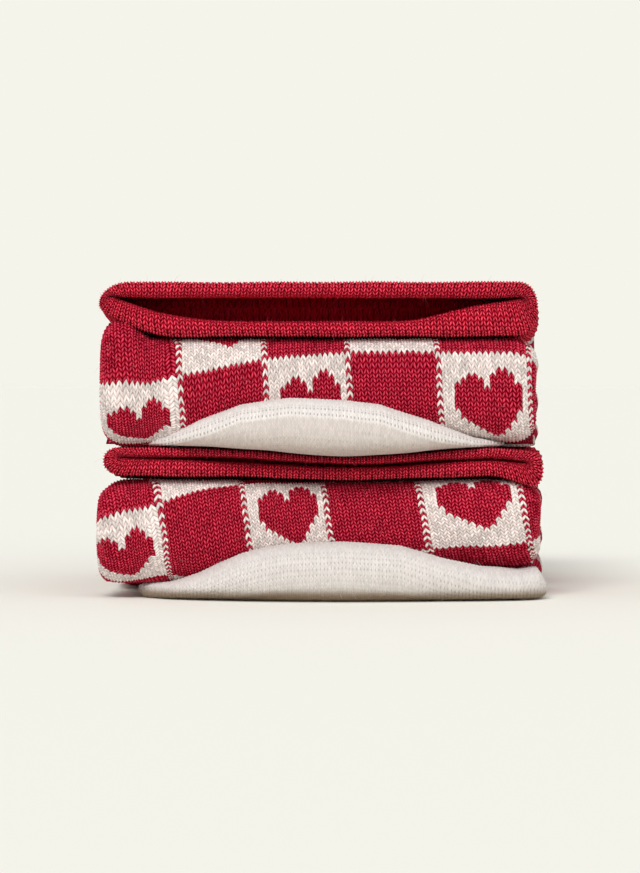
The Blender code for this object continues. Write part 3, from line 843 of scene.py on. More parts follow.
@dataclass
class Cuff:
    """Ribbed cuff: a double welt round the sock's open mouth."""

    shape: SockShape
    rib_rise: float = 0.34
    stitch_rise: float = 0.52
    lip_course: float = 0.85
    pit_depth: float = 0.25
    swell: float = 0.22         # of the lip's uneven edge
    columns_per_wale: int = 4
    lip_rows: int = 30
    back_rows: int = 50
    hollow_rows: int = 12
    narrowing: float = 1.5      # of the mouth's half width, going in
    flattening: float = 0.06    # share of the mouth's height lost, going in
    floor_span: Tuple[float, float] = (0.42, 0.88)  # share of its width where its floor rises

    def _outside(self, y: float) -> Tuple[Array, Array]:
        """Points (x, z) of the cuff's outside at depth y, and their way out."""
        s = self.shape
        low, high = float(s.height("layer_1_under", y)), float(s.height("layer_1_over", y))
        share = float(smooth(Y_FRONT, SEAM_Y, y))
        low += s.cuff_lift * float(smooth(Y_FRONT + 20.0, Y_FRONT, y))
        centre = s.cuff_middle * (1.0 - share) + float(s.middle_x(y)) * share
        half_width = s.cuff_half_width * (1.0 - share) + float(s.half_width_at(y)) * share
        half, steps, rows = 0.5 * (high - low), 60, []
        foot = s.left_foot * (1.0 - share) + s.left_edge * share
        for side, first_edge, last_edge in ((1.0, s.right_edge, s.right_edge),
                                            (-1.0, s.left_edge, foot)):
            t = np.arange(steps) / steps
            turn = math.pi * t - 0.5 * math.pi
            bow, rise = superellipse(turn, EDGE_POWER)
            edge = np.where(turn < 0.0, first_edge, last_edge) * half
            first, last = half_width - first_edge * half, half_width - last_edge * half
            rows.append(np.stack([side * first * t, np.full(steps, -side * half)], -1))
            rows.append(np.stack([side * (half_width - edge * (1.0 - bow)),
                                  side * half * rise], -1))
            rows.append(np.stack([side * last * (1.0 - t), np.full(steps, side * half)], -1))
        loop = np.concatenate(rows) + np.array([centre, 0.5 * (low + high)])
        share = np.arange(WALES * self.columns_per_wale) / (WALES * self.columns_per_wale)
        return even_loop(loop, share)

    def _inside(self, outside: Array, y: float) -> Tuple[Array, Array]:
        """Points of the mouth's hollow behind those of the outside, and their way out.

        Args:
            outside: (x, z) of the cuff's outside at the lip.
            y: depth in the mouth.

        Returns:
            (x, z) of the hollow at y, and the way out of the cloth there.
        """
        s = self.shape
        inward = float(smooth(CUFF_LIP_Y, CUFF_LIP_Y + s.mouth_depth, y))
        over = float(s.height("layer_1_over", Y_FRONT)) - s.wall_over - s.mouth_fall * inward
        tall = s.mouth_height * (1.0 - self.flattening * inward)
        half_width = s.mouth_half_width - self.narrowing * inward
        low, high = outside[:, 0].min(), outside[:, 0].max()
        t = np.clip((outside[:, 0] - 0.5 * (low + high)) / (0.5 * (high - low)), -1.0, 1.0)
        wider = 0.5 * (high - low) / s.mouth_half_width
        t = wider * t / (1.0 + (wider ** 10 - 1.0) * t ** 10) ** 0.1
        bow = 1.0 - np.abs(t) ** 4
        roof = outside[:, 1] > 0.5 * (outside[:, 1].min() + outside[:, 1].max())
        rise = s.floor_rise * smooth(*self.floor_span, t) * bow
        z = np.where(roof, over + 0.05 * bow, over - tall * bow - 0.05 + rise)
        out = np.stack([np.zeros_like(t), np.where(roof, -1.0, 1.0)], -1)
        return np.stack([s.mouth_middle + half_width * t, z], -1), out

    def build(self) -> bpy.types.Object:
        """The cuff's shell: outside, rolled lip and hollow."""
        s = self.shape
        columns = WALES * self.columns_per_wale
        wale = np.arange(columns) / self.columns_per_wale
        base, normals, course, sink = [], [], [], []

        def ring(at: Array, y: Array, out: Array, forward: float, number: Array,
                 deep: float = 0.0) -> None:
            """Adds a ring of points, with their way out and course number."""
            base.append(np.stack([at[:, 0], np.broadcast_to(y, columns), at[:, 1]], -1))
            ahead = math.sqrt(max(0.0, 1.0 - forward * forward))
            normals.append(np.stack([out[:, 0] * ahead, np.full(columns, -forward),
                                     out[:, 1] * ahead], -1))
            course.append(np.broadcast_to(number, columns))
            sink.append(deep)

        lip_back = CUFF_LIP_Y + LIP_ROUND
        for past, deep in CUFF_TUCK:
            at, out = self._outside(SEAM_Y + past)
            ring(at, SEAM_Y + past, out, 0.0, -past / COURSE, deep)
        for y in np.linspace(SEAM_Y, lip_back, self.back_rows)[:-1]:
            at, out = self._outside(float(y))
            ring(at, y, out, 0.0, (SEAM_Y - y) / COURSE)
        outer, out = self._outside(lip_back)
        inner, inward = self._inside(outer, lip_back)
        wall = np.linalg.norm(inner - outer, axis=-1)
        start = (SEAM_Y - lip_back) / COURSE
        arc = (math.pi * np.sqrt(0.5 * (0.25 * wall * wall + LIP_ROUND * LIP_ROUND))
               / self.lip_course)
        across = (inner - outer) / np.maximum(wall[:, None], 1e-6)
        for k in range(self.lip_rows + 1):
            t = k / self.lip_rows
            turn = math.pi * t
            at = outer + (inner - outer) * (0.5 - 0.5 * math.cos(turn))
            reach = LIP_ROUND * math.sin(turn) ** 0.8 if 0 < k < self.lip_rows else 0.0
            side = -across * math.copysign(1.0, math.cos(turn))
            if k == 0:
                side = out
            ring(at, lip_back - reach, side, math.sin(turn), start + arc * t)
        last = start + arc
        depth = CUFF_LIP_Y + s.mouth_depth
        for y in np.linspace(lip_back, depth, self.hollow_rows)[1:]:
            at, way = self._inside(outer, float(y))
            ring(at, y, way, 0.0, last + (y - lip_back) / COURSE)
        at, way = self._inside(outer, depth)
        for past, rise in MOUTH_END:
            closed = at.copy()
            closed[:, 1] = at[:, 1].mean() + rise * way[:, 1]
            ring(closed, depth + past, way, 0.0, last + (depth + past - lip_back) / COURSE)

        grid = np.array(base)
        way = np.array(normals)
        grid_course = np.array(course)
        grid_wale = np.broadcast_to(wale, grid_course.shape)
        rib = 0.5 + 0.5 * np.cos(math.tau * (grid_wale - 0.5))
        inside = smooth(last - 1.0, last + 6.0, grid_course)
        crest = start + 0.5 * arc       # the lip's foremost course
        rolled = smooth(crest - 6.5, crest - 4.5, grid_course)
        lip = smooth(start - 7.0, start - 1.0, grid_course) * (1.0 - inside) * rolled
        side = np.abs(2.0 * (grid_wale % 1.0) - 1.0)
        relief = self.stitch_rise * strand_height(grid_wale, grid_course + STRAND_SLOPE * side)
        pits = (np.exp(-((grid_course - start - LIP_PITS) / 0.32) ** 2)
                * (0.5 + 0.5 * np.cos(math.pi * grid_wale)) ** 3)
        push = (self.rib_rise * (rib - 1.0) * (1.0 - 0.75 * lip) * (1.0 - 0.4 * inside)
                + (relief - 0.5 * self.stitch_rise) * lip - self.pit_depth * pits * lip
                - np.array(sink)[:, None]
                + self.swell * ripple(grid_wale / 13.0, grid_course / 30.0, 31) * lip)
        places = grid + way * push[..., None]
        end = smooth(34.0, 46.0, places[..., 0]) * smooth(Y_FRONT + 24.0, Y_FRONT, places[..., 1])
        level = places[..., 2].min(), places[..., 2].max()
        lower = smooth(level[1], level[0], places[..., 2])
        places[..., 2] -= s.end_droop * end * (0.3 + 0.7 * lower)
        places = settle(places)
        marks = np.stack([grid_wale, grid_course], -1)
        marks = np.concatenate([marks, marks[:, :1] + np.array([float(WALES), 0.0])], 1)
        marks[..., 1] += CUFF_FIRST - start
        patch = Patch(places, marks, way[6, 4], wrap=True, hollow=inside, probe=(6, 4))
        return knit_piece(s.name + "_cuff_knit", (patch,))


@dataclass
class Toe:
    """White toe: flat under the front fold, puffed up in front of it."""

    shape: SockShape
    wale: float = 0.74
    columns_per_wale: int = 3
    rows_per_course: int = 3
    seam_drop: float = 1.7      # how far the seam lies below the toe's top edge
    end_power: float = 2.4      # roundness of its ends, seen from the front
    puff: float = 7.0           # most depth of its rounded front
    stitch_rise: float = 0.14
    pit_depth: float = 0.16
    swell: float = 0.10         # of its uneven surface

    def _section(self, x: float) -> Tuple[Array, Array]:
        """Section (y, z) at x, from the seam's top round the front to its foot.

        Returns:
            (n, 2) points and each one's distance past the toe's top edge.
        """
        s = self.shape
        centre, _, down = s.fold_sizes(*FRONT_FOLD, FRONT_SLIT_Y)
        sole = float(s.height("layer_4_under", Y_FRONT))
        slab = float(s.height("layer_3_under", Y_FRONT)) - TOE_CLEAR
        front, rise = (float(from_table(s.toe_rows, x, column)) for column in (1, 2))
        top, half = sole + rise, 0.5 * rise
        turns = np.linspace(-0.5 * math.pi, 0.0, 91)
        heights = centre[1] + fold_radius(turns, FRONT_REACH, down) * np.sin(turns)
        below = turns[heights < top - 0.3]
        high_turn = below[-1] if len(below) else -0.5 * math.pi
        turn = np.linspace(-0.5 * math.pi, high_turn, 14)
        radius = fold_radius(turn, FRONT_REACH, down) + TOE_CLEAR
        tuck = np.stack([centre[0] - radius * np.cos(turn),
                         centre[1] + radius * np.sin(turn)], -1)
        bulb = max(1.2, min(self.puff, 0.5 * (TOE_SEAM_Y - 3.0 - front)))
        bulb_y = min(front + bulb, float(tuck[-1, 0]) - 0.2)
        bulb = bulb_y - front
        bow, lift = superellipse(np.linspace(0.5 * math.pi, -0.5 * math.pi, 41), TOE_POWER)
        puff = np.stack([bulb_y - bulb * bow, sole + half + half * lift], -1)
        shut = [[TOE_SEAM_Y + 0.3, 0.5 * (slab + sole)]]
        loop = np.concatenate([shut, [[TOE_SEAM_Y, slab]], tuck, puff,
                               [[0.5 * (TOE_SEAM_Y + bulb_y), sole], [TOE_SEAM_Y, sole]], shut])
        loop[:, 1] = np.minimum(loop[:, 1], top)
        left, right = s.toe_rows[0][0], s.toe_rows[-1][0]
        near = max(0.0, min(1.0, (x - left) / TOE_END, (right - x) / TOE_END))
        swell = (1.0 - (1.0 - near) ** self.end_power) ** (1.0 / self.end_power)
        heart = sole + 0.5 * min(slab - sole, rise)
        depth = 0.5 * (TOE_SEAM_Y + front)
        loop = np.stack([depth + (loop[:, 0] - depth) * (0.5 + 0.5 * swell),
                         heart + (loop[:, 1] - heart) * swell], -1)
        along = lengths_along(loop)
        crest = int(np.argmax(loop[15:40, 1])) + 15
        drop = min(self.seam_drop, 0.30 * rise)
        seam = np.interp(drop, loop[crest, 1] - loop[crest:crest + 30, 1],
                         along[crest:crest + 30])
        return loop, along - float(seam)

    @property
    def flat(self) -> Tuple[float, float]:
        """Width and length of the cloth that shows, in metres."""
        left, right = self.shape.toe_rows[0][0], self.shape.toe_rows[-1][0]
        lengths = [float(np.ptp(self._section(float(x))[1]))
                   for x in np.linspace(left, right, 21)]
        return (right - left) * MM, float(np.mean(lengths)) * MM

    def build(self) -> bpy.types.Object:
        """The toe's shell, open at the seam to the foot."""
        s = self.shape
        left, right = s.toe_rows[0][0], s.toe_rows[-1][0]
        count = int((right - left) / self.wale)
        wale = np.arange(0, count + 0.01, 1.0 / self.columns_per_wale)
        xs = left + (right - left) * wale / count
        loops = [self._section(float(x)) for x in xs]
        first = min(l[1][0] for l in loops)
        last = max(l[1][-1] for l in loops)
        rows = np.arange(math.floor(first / COURSE), math.ceil(last / COURSE) + 1,
                         1.0 / self.rows_per_course)
        base = np.zeros((len(rows), len(xs), 3))
        course = np.zeros((len(rows), len(xs)))
        for k, (loop, along) in enumerate(loops):
            across = abs(2.0 * (wale[k] % 1.0) - 1.0)
            v = (rows + STRAND_SLOPE * across) * COURSE
            v = np.clip(v, along[0], along[-1])
            base[:, k, 0] = xs[k]
            base[:, k, 1] = np.interp(v, along, loop[:, 0])
            base[:, k, 2] = np.interp(v, along, loop[:, 1])
            course[:, k] = -v / COURSE
        base = settle(base)
        normals = outward_normals(base, base.mean(axis=0, keepdims=True))
        grid_row, grid_wale = np.meshgrid(rows, wale, indexing="ij")
        down = -course
        rise = strand_height(grid_wale, -grid_row)
        band = 1.0 - smooth(s.toe_band, 1.4 * s.toe_band, down)
        pits = np.zeros_like(down)
        for row, deep in s.toe_seams:
            pits = np.maximum(pits, deep * np.exp(-((down - row) / 0.42) ** 2))
        pits *= (0.5 + 0.5 * np.cos(grid_wale * math.tau)) ** 2
        push = (self.stitch_rise * (rise * (0.3 + 0.7 * band) + band - 1.0)
                - self.pit_depth * pits
                + self.swell * ripple(grid_wale / 16.0, grid_row / 22.0, 41))
        rest = smooth(0.9, 0.0, base[..., 2])
        push = np.where(base[..., 2] < 0.6, np.minimum(push, 0.0) * (1.0 - rest), push)
        places = base + normals * push[..., None]
        places[..., 2] = np.maximum(places[..., 2], 0.02)
        # Painted shadow on the toe's underside, stored as hollow.
        under = s.toe_shade * smooth(2.9, 0.9, base[..., 2] - base[..., 2].min())
        marks = np.stack([grid_wale, course + TOE_FIRST], -1)
        patch = Patch(places, marks, normals[40, 40], modelled=1.0, hollow=under,
                      probe=(40, 40))
        return knit_piece(s.name + "_toe_knit", (patch,))


def linear(hex_colour: str) -> Tuple[float, float, float, float]:
    """Turns an sRGB hex colour into linear light."""
    parts = [int(hex_colour[k:k + 2], 16) / 255.0 for k in (1, 3, 5)]
    light = [p / 12.92 if p <= 0.04045 else ((p + 0.055) / 1.055) ** 2.4 for p in parts]
    return light[0], light[1], light[2], 1.0


class Slot(Enum):
    """The record's material slots."""

    CHECK = "check_knit"
    CUFF = "cuff_rib"
    TOE = "toe_knit"


class Recipe:
    """A material while its nodes are put together."""

    def __init__(self, name: str) -> None:
        """Starts an empty material."""
        self.material = bpy.data.materials.new(name)
        self.material.use_nodes = True
        self.tree = self.material.node_tree
        self.tree.nodes.clear()

    def add(self, kind: str, *inputs: object, out: int = 0, named: Optional[Dict] = None,
            **settings: object) -> bpy.types.NodeSocket:
        """Adds a node, sets it and links it.

        Args:
            kind: the node's type without its ShaderNode prefix.
            inputs: values or sockets for its inputs in order, None to skip one.
            out: which output is given back.
            named: values or sockets for inputs by name or number.
            settings: the node's own settings.

        Returns:
            The chosen output.
        """
        made = self.tree.nodes.new("ShaderNode" + kind)
        for key, value in settings.items():
            setattr(made, key, value)
        pairs = list(zip(made.inputs, inputs))
        pairs += [(made.inputs[key], value) for key, value in (named or {}).items()]
        for socket, value in pairs:
            if isinstance(value, bpy.types.NodeSocket):
                self.tree.links.new(value, socket)
            elif value is not None:
                socket.default_value = value
        return made.outputs[out] if len(made.outputs) else None

    def calc(self, operation: str, *inputs: object) -> bpy.types.NodeSocket:
        """Adds arithmetic on single values."""
        return self.add("Math", *inputs, operation=operation)

    def step(self, value: bpy.types.NodeSocket, low: float, high: float,
             first: float = 0.0, last: float = 1.0) -> bpy.types.NodeSocket:
        """Adds a soft step from first at low to last at high."""
        return self.add("MapRange", value, low, high, first, last,
                        interpolation_type="SMOOTHSTEP")

    def mix(self, share: object, first: object, second: object) -> bpy.types.NodeSocket:
        """Adds a mix of two colours: the first at a share of 0."""
        return self.add("Mix", named={0: share, 6: first, 7: second},
                        data_type="RGBA", out=2)

    def scaled(self, colour: object, light: bpy.types.NodeSocket) -> bpy.types.NodeSocket:
        """Adds a colour times a lightness."""
        return self.add("VectorMath", colour, None, None, light, operation="SCALE")

    def stored(self, name: str) -> bpy.types.NodeSocket:
        """Adds a value that is stored on the mesh."""
        return self.add("Attribute", attribute_name=name, out=2)

    def finish(self, colour: bpy.types.NodeSocket, height: bpy.types.NodeSocket,
               strength: object, depth: float, roughness: float, sheen: float,
               tint: str, shine: float = 0.06) -> bpy.types.Material:
        """Ends the material in soft cloth.

        Args:
            colour: the yarn's colour.
            height: its relief, 0 to 1.
            strength: share of the relief that is drawn.
            depth: the relief's full height in millimetres.
            roughness: of the yarn.
            sheen: share of light that its fuzz scatters.
            tint: colour of that light.
            shine: of the fibres; low, because a strand's own gaps hide the sky.

        Returns:
            The material.
        """
        bump = self.add("Bump", named={"Strength": strength, "Distance": depth * MM,
                                       "Height": height})
        shader = self.add("BsdfPrincipled", named={
            "Base Color": colour, "Roughness": roughness, "Sheen Weight": sheen,
            "Sheen Roughness": 0.45, "Sheen Tint": linear(tint),
            "Specular IOR Level": shine, "IOR": 1.45, "Normal": bump})
        self.add("OutputMaterial", shader)
        return self.material


@dataclass(frozen=True)
class Yarn:
    """A yarn's three tones: a painted highlight where fibres catch the light, its own colour on a
    strand, and a painted shade in a gap.
    """

    lit: str
    body: str
    gap: str


# Each yarn: a painted highlight for its crests, its own colour, and a painted shade for its gaps.
RED_YARN = Yarn("#D24258", "#A40E28", "#3E0003")
# The cuff's yarn is the leg's red yarn, its tones painted lighter: painted light on the cuff.
CUFF_YARN_PAINTED_LIGHTER = Yarn("#FC5266", "#C81430", "#440004")
WHITE_YARN = Yarn("#F1E8E4", "#DDCFC9", "#8E7068")
TOE_YARN = Yarn("#E0DAD6", "#D2C8C1", "#A8968C")

# The heart in a white square, one pair to a wale from left to right: courses
# from its point up to where the heart starts and stops.
HEART_WALES = ((7, 13), (5, 14), (4, 15), (3, 15), (2, 14), (1, 12),
               (0, 15), (1, 16), (3, 16), (5, 15), (7, 13))
HEART_SIDE = 3          # wales of the square before the heart
HEART_FOOT = 5          # courses of white below its point


@dataclass(frozen=True)
class Knit:
    """Nodes that every knit finish shares."""

    streaks: float = 0.30       # how much the fibres vary a strand's lightness
    uneven: float = 0.46        # how much one leg of a stitch differs from the next
    clouds: float = 0.16        # how much one patch differs from another
    nap: float = 0.30           # height of the fibres over a strand
    stray: float = 0.50         # how much they break up a strand's edge
    wander: Tuple[float, float, float] = (0.42, 0.56, 0.0)  # most wales and courses off

    def stitches(self, r: Recipe) -> Dict[str, bpy.types.NodeSocket]:
        """Adds the nodes that find the stitch and the strand at a point.

        Args:
            r: the material.

        Returns:
            Sockets by name: uv and its parts u and v, wale and course, both
            whole, the height of the strand, the relief to draw, and the
            lightness of its fibres.
        """
        uv = r.add("UVMap", uv_map="stitches")
        wander = r.add("TexNoise", uv, None, 0.45, 2.0, out=1, noise_dimensions="2D")
        wander = r.add("VectorMath", wander, (-0.5, -0.5, 0.0), operation="ADD")
        wander = r.add("VectorMath", wander, self.wander, operation="MULTIPLY")
        place = r.add("VectorMath", uv, wander, operation="ADD")
        u = r.add("SeparateXYZ", place)
        v = u.node.outputs[1]
        across = r.calc("FRACT", u)
        across = r.calc("MULTIPLY_ADD", across, 2.0, -1.0)
        across = r.calc("ABSOLUTE", across)
        phase = r.calc("MULTIPLY_ADD", across, STRAND_SLOPE, v)
        wale = r.calc("FLOOR", u)
        course = r.calc("FLOOR", phase)
        part = r.calc("FRACT", phase)
        side = r.calc("MULTIPLY_ADD", across, 2.0, -1.0)
        side = r.calc("MULTIPLY", side, side)
        column = r.calc("SUBTRACT", 1.0, side)
        crest = r.calc("MULTIPLY_ADD", part, 2.0, -1.0)
        crest = r.calc("ABSOLUTE", crest)
        crest = r.calc("MULTIPLY", crest, crest)
        crest = r.calc("SUBTRACT", 1.0, crest)
        held = r.calc("MULTIPLY_ADD", column, 0.65, 0.35)
        rise = r.calc("MULTIPLY_ADD", crest, held, column)
        height = r.calc("MULTIPLY", rise, 0.5)
        standing = r.calc("MULTIPLY_ADD", column, 0.82, 0.18)
        strand = r.calc("MULTIPLY", crest, standing)
        along = r.calc("MULTIPLY_ADD", wale, 13.7, across)
        lay = r.calc("MULTIPLY", along, 1.6)
        thread = r.calc("MULTIPLY", phase, 7.0)
        grain = r.add("CombineXYZ", lay, thread)
        fibre = r.add("TexNoise", grain, None, 1.0, 3.0, 0.62, noise_dimensions="2D")
        leg = r.calc("MULTIPLY", u, 2.0)
        leg = r.calc("FLOOR", leg)
        cell = r.add("CombineXYZ", leg, course)
        chance = r.add("TexWhiteNoise", cell, noise_dimensions="2D")
        cloud = r.add("TexNoise", uv, None, 0.07, 3.0, noise_dimensions="2D")
        light = r.calc("MULTIPLY_ADD", fibre, self.streaks * 2.0, 1.0 - self.streaks)
        light = r.calc("MULTIPLY_ADD", chance, self.uneven, light)
        light = r.calc("MULTIPLY_ADD", cloud, self.clouds, light)
        light = r.calc("ADD", light, -0.5 * (self.uneven + self.clouds))
        fuzzy = r.calc("MULTIPLY_ADD", fibre, self.nap, height)
        stray = r.calc("MULTIPLY_ADD", fibre, self.stray, -0.5 * self.stray)
        strand = r.calc("ADD", strand, stray)
        return {"uv": uv, "u": u, "v": v, "wale": wale, "course": course,
                "strand": strand, "relief": fuzzy, "light": light}

    def yarn_with_painted_light(self, r: Recipe, yarn: Yarn, strand: bpy.types.NodeSocket,
             gap: Tuple[float, float] = (0.04, 0.50),
             lit: Tuple[float, float] = (0.50, 0.95)) -> bpy.types.NodeSocket:
        """Colour of a yarn: painted shade between its strands, and a painted highlight along
        their crests.

        Args:
            r: the material.
            yarn: its three tones.
            strand: height of the strand, 0 to 1.
            gap: heights over which the painted gap shade turns to the body's tone.
            lit: heights over which the body's tone turns to the painted highlight.

        Returns:
            The colour.
        """
        rise = r.step(strand, *gap)
        crest = r.step(strand, *lit)
        # Painted shade in the gaps, then a painted highlight on the crests.
        deep = r.mix(rise, linear(yarn.gap), linear(yarn.body))
        return r.mix(crest, deep, linear(yarn.lit))

    def drawn(self, r: Recipe) -> bpy.types.NodeSocket:
        """Share of the relief to draw: less where the stitches are modelled."""
        modelled = r.stored("modelled")
        return r.calc("MULTIPLY_ADD", modelled, -0.62, 0.9)


@dataclass(frozen=True)
class CheckedKnit(Knit):
    """Fuzzy plain knit in red and white squares, a heart in each white one.

    Brushed cotton and wool yarn gives matt strands with a soft nap; a painted highlight lies
    along their crests and a painted shade in their gaps.
    """

    def material(self) -> bpy.types.Material:
        """Puts the finish together."""
        r = Recipe("brushed_cotton_checked_plain_knit")
        s = self.stitches(r)
        blocks = []
        for count, size in ((s["wale"], SQUARE_WALES), (s["course"], SQUARE_COURSES)):
            block = r.calc("DIVIDE", count, float(size))
            blocks.append(r.calc("FLOOR", block))
        both = r.calc("ADD", *blocks)
        white = r.calc("MODULO", both, 2.0)
        wale = r.calc("MODULO", s["wale"], float(SQUARE_WALES))
        course = r.calc("MODULO", s["course"], float(SQUARE_COURSES))
        heart = self._heart(r, wale, course)
        plain = r.calc("SUBTRACT", 1.0, heart)
        white = r.calc("MULTIPLY", white, plain)
        mixed = r.calc("LESS_THAN", wale, 0.5)
        every_other = r.calc("MODULO", s["course"], 2.0)
        white = r.add("Mix", mixed, None, white, every_other)
        red = self.yarn_with_painted_light(r, RED_YARN, s["strand"])
        pale = self.yarn_with_painted_light(r, WHITE_YARN, s["strand"], (-0.10, 0.30))
        colour = r.mix(white, red, pale)
        colour = r.scaled(colour, s["light"])
        return r.finish(colour, s["relief"], self.drawn(r), 0.34, 0.92, 0.02, "#FFC8C0", 0.0)

    def _heart(self, r: Recipe, wale: bpy.types.NodeSocket,
               course: bpy.types.NodeSocket) -> bpy.types.NodeSocket:
        """1 on the stitches of the heart, by the chart of its wales."""
        at = r.calc("MULTIPLY_ADD", wale, 1.0 / SQUARE_WALES, 0.5 / SQUARE_WALES)
        chart = r.add("ValToRGB", at)
        ramp = chart.node.color_ramp
        ramp.interpolation = "CONSTANT"
        ramp.elements.remove(ramp.elements[1])
        ramp.elements[0].color = (1.0, 0.0, 0.0, 1.0)
        stretches = [((HEART_FOOT + low) / SQUARE_COURSES, (HEART_FOOT + high) / SQUARE_COURSES)
                     for low, high in HEART_WALES] + [(1.0, 0.0)]
        for k, (low, high) in enumerate(stretches):
            place = ramp.elements.new((HEART_SIDE + k) / SQUARE_WALES)
            place.color = (low, high, 0.0, 1.0)
        low = r.add("SeparateColor", chart)
        middle = r.calc("MULTIPLY_ADD", course, 1.0 / SQUARE_COURSES, 0.5 / SQUARE_COURSES)
        above = r.calc("GREATER_THAN", middle, low)
        below = r.calc("LESS_THAN", middle, low.node.outputs[1])
        return r.calc("MULTIPLY", above, below)


@dataclass(frozen=True)
class RibbedKnit(Knit):
    """Red ribbed cuff: the same yarn in tones painted lighter, its valleys in deep shade.

    The mouth's inside is painted lighter and evened to a flat tone: painted light in its shade.
    """

    hollow_light: float = 2.2   # how much painted light brightens the mouth's inside
    hollow_blur: float = 0.75   # how much the flat painted tone hides the strands inside the mouth
    # Flat tone of the painted light inside the mouth.
    mouth_painted_tone: str = "#BE1834"
    rib_shade: float = 0.12     # how much darker a valley is than a rib's middle
    pit_shade: float = 0.42     # how dark the pits along the lip are

    def material(self) -> bpy.types.Material:
        """Puts the finish together."""
        r = Recipe("brushed_cotton_ribbed_cuff_knit")
        s = self.stitches(r)
        rib = r.calc("MULTIPLY_ADD", s["u"], math.tau, -math.pi)
        rib = r.calc("COSINE", rib)
        shade = r.calc("MULTIPLY_ADD", rib, self.rib_shade, 1.0 - self.rib_shade)
        away = r.calc("ADD", s["v"], -CUFF_FIRST - LIP_PITS)
        away = r.calc("ABSOLUTE", away)
        row = r.step(away, 0.2, 0.75, 1.0, 0.0)
        pair = r.calc("MULTIPLY", s["u"], math.pi)
        pair = r.calc("COSINE", pair)
        pair = r.step(pair, 0.45, 0.95)
        pit = r.calc("MULTIPLY", row, pair)
        clear = r.calc("MULTIPLY_ADD", pit, -self.pit_shade, 1.0)
        # Inside the mouth: painted light, and a flat tone over the strands' painted gap shade.
        deep = r.stored("hollow")
        inside = r.calc("MULTIPLY_ADD", deep, self.hollow_light - 1.0, 1.0)
        blurred = r.calc("MULTIPLY", deep, self.hollow_blur)
        colour = self.yarn_with_painted_light(r, CUFF_YARN_PAINTED_LIGHTER, s["strand"])
        colour = r.mix(blurred, colour, linear(self.mouth_painted_tone))
        light = r.calc("MULTIPLY", s["light"], shade)
        light = r.calc("MULTIPLY", light, clear)
        light = r.calc("MULTIPLY", light, inside)
        colour = r.scaled(colour, light)
        return r.finish(colour, s["relief"], 0.75, 0.34, 0.92, 0.02, "#FFB8B0", 0.0)


@dataclass(frozen=True)
class ToeKnit(Knit):
    """White toe: smooth fine knit with rows of small pits, closer at its seam.

    Mercerised cotton lies flatter than the leg's yarn, so it looks smooth.
    """

    name: str = "mercerised_cotton_plain_toe_knit"
    seams: Sequence[Tuple[float, float]] = TOE_SEAMS
    band: float = 2.2           # courses down to which it is smoother and painted whiter, a painted light on the toe's top
    tone: float = 1.0           # how light it is; below 1 it is a painted shade over the whole toe
    # Painted light on the toe's top band.
    white: str = "#F3EEEA"
    # Brown painted shadow on the toe's underside, near the floor.
    underside_shadow: str = "#8A7152"
    # Painted shade in the pits.
    pit: str = "#7E6A5E"

    def material(self) -> bpy.types.Material:
        """Puts the finish together."""
        r = Recipe(self.name)
        s = self.stitches(r)
        down = r.calc("SUBTRACT", TOE_FIRST, s["v"])
        band = r.step(down, self.band, 1.4 * self.band, 1.0, 0.0)
        turn = r.calc("MULTIPLY", s["u"], math.tau)
        between = r.calc("COSINE", turn)
        between = r.step(between, 0.1, 0.9)
        pits = None
        for row, deep in self.seams:
            away = r.calc("ADD", down, -row)
            away = r.calc("ABSOLUTE", away)
            near = r.step(away, 0.10, 0.48, deep, 0.0)
            pits = near if pits is None else r.calc("MAXIMUM", pits, near)
        wave = r.calc("MULTIPLY", down, math.tau / TOE_ROW_COURSES)
        wave = r.calc("COSINE", wave)
        wave = r.step(wave, 0.55, 1.0, 0.0, 0.42)
        patchy = r.add("TexNoise", s["uv"], None, 0.16, 2.0, noise_dimensions="2D")
        patchy = r.step(patchy, 0.40, 0.62, 0.15, 1.0)
        wave = r.calc("MULTIPLY", wave, patchy)
        below = r.calc("SUBTRACT", 1.0, band)
        wave = r.calc("MULTIPLY", wave, below)
        pits = r.calc("MAXIMUM", pits, wave)
        pits = r.calc("MULTIPLY", pits, between)
        pale = self.yarn_with_painted_light(r, TOE_YARN, s["strand"], (-0.2, 0.35))
        fine = r.calc("MULTIPLY_ADD", band, 0.40, 0.35)
        colour = r.mix(fine, linear(TOE_YARN.body), pale)
        # Whiter along the band below the seam: a painted light on the toe's top, which faces up;
        # its knit there is also smoother.
        whiter = r.calc("MULTIPLY", band, 0.66)
        colour = r.mix(whiter, colour, linear(self.white))
        # Painted shadow, brown, on the toe's underside.
        underside_shade = r.stored("hollow")
        underside_shade = r.calc("MULTIPLY", underside_shade, 0.85)
        colour = r.mix(underside_shade, colour, linear(self.underside_shadow))
        # The pits are painted darker as well: painted shade in their hollows.
        dark = r.calc("MULTIPLY", pits, 0.58)
        colour = r.mix(dark, colour, linear(self.pit))
        # A tone below 1 darkens the whole toe: painted shade, as on the lower sock's toe.
        light = r.calc("MULTIPLY_ADD", s["light"], 0.35 * self.tone, 0.65 * self.tone)
        colour = r.scaled(colour, light)
        return r.finish(colour, s["relief"], r.calc("MULTIPLY", fine, 0.7),
                        0.20, 0.80, 0.05, "#FFFFFF", 0.15)


@dataclass(frozen=True)
class FibreFuzz:
    """Loose fibres that stand off the yarn and catch the light."""

    red: str = "#C63A50"
    white: str = "#F6F0EA"

    def material(self) -> bpy.types.Material:
        """Puts the finish together."""
        r = Recipe("loose_cotton_fibre")
        shade = r.stored("shade")
        spread = r.add("TexNoise", r.add("TexCoord", out=3), None, 900.0, 2.0)
        colour = r.mix(shade, linear(self.red), linear(self.white))
        light = r.calc("MULTIPLY_ADD", spread, 0.5, 0.75)
        colour = r.scaled(colour, light)
        return r.finish(colour, spread, 0.1, 0.02, 0.7, 0.3, "#FFFFFF")


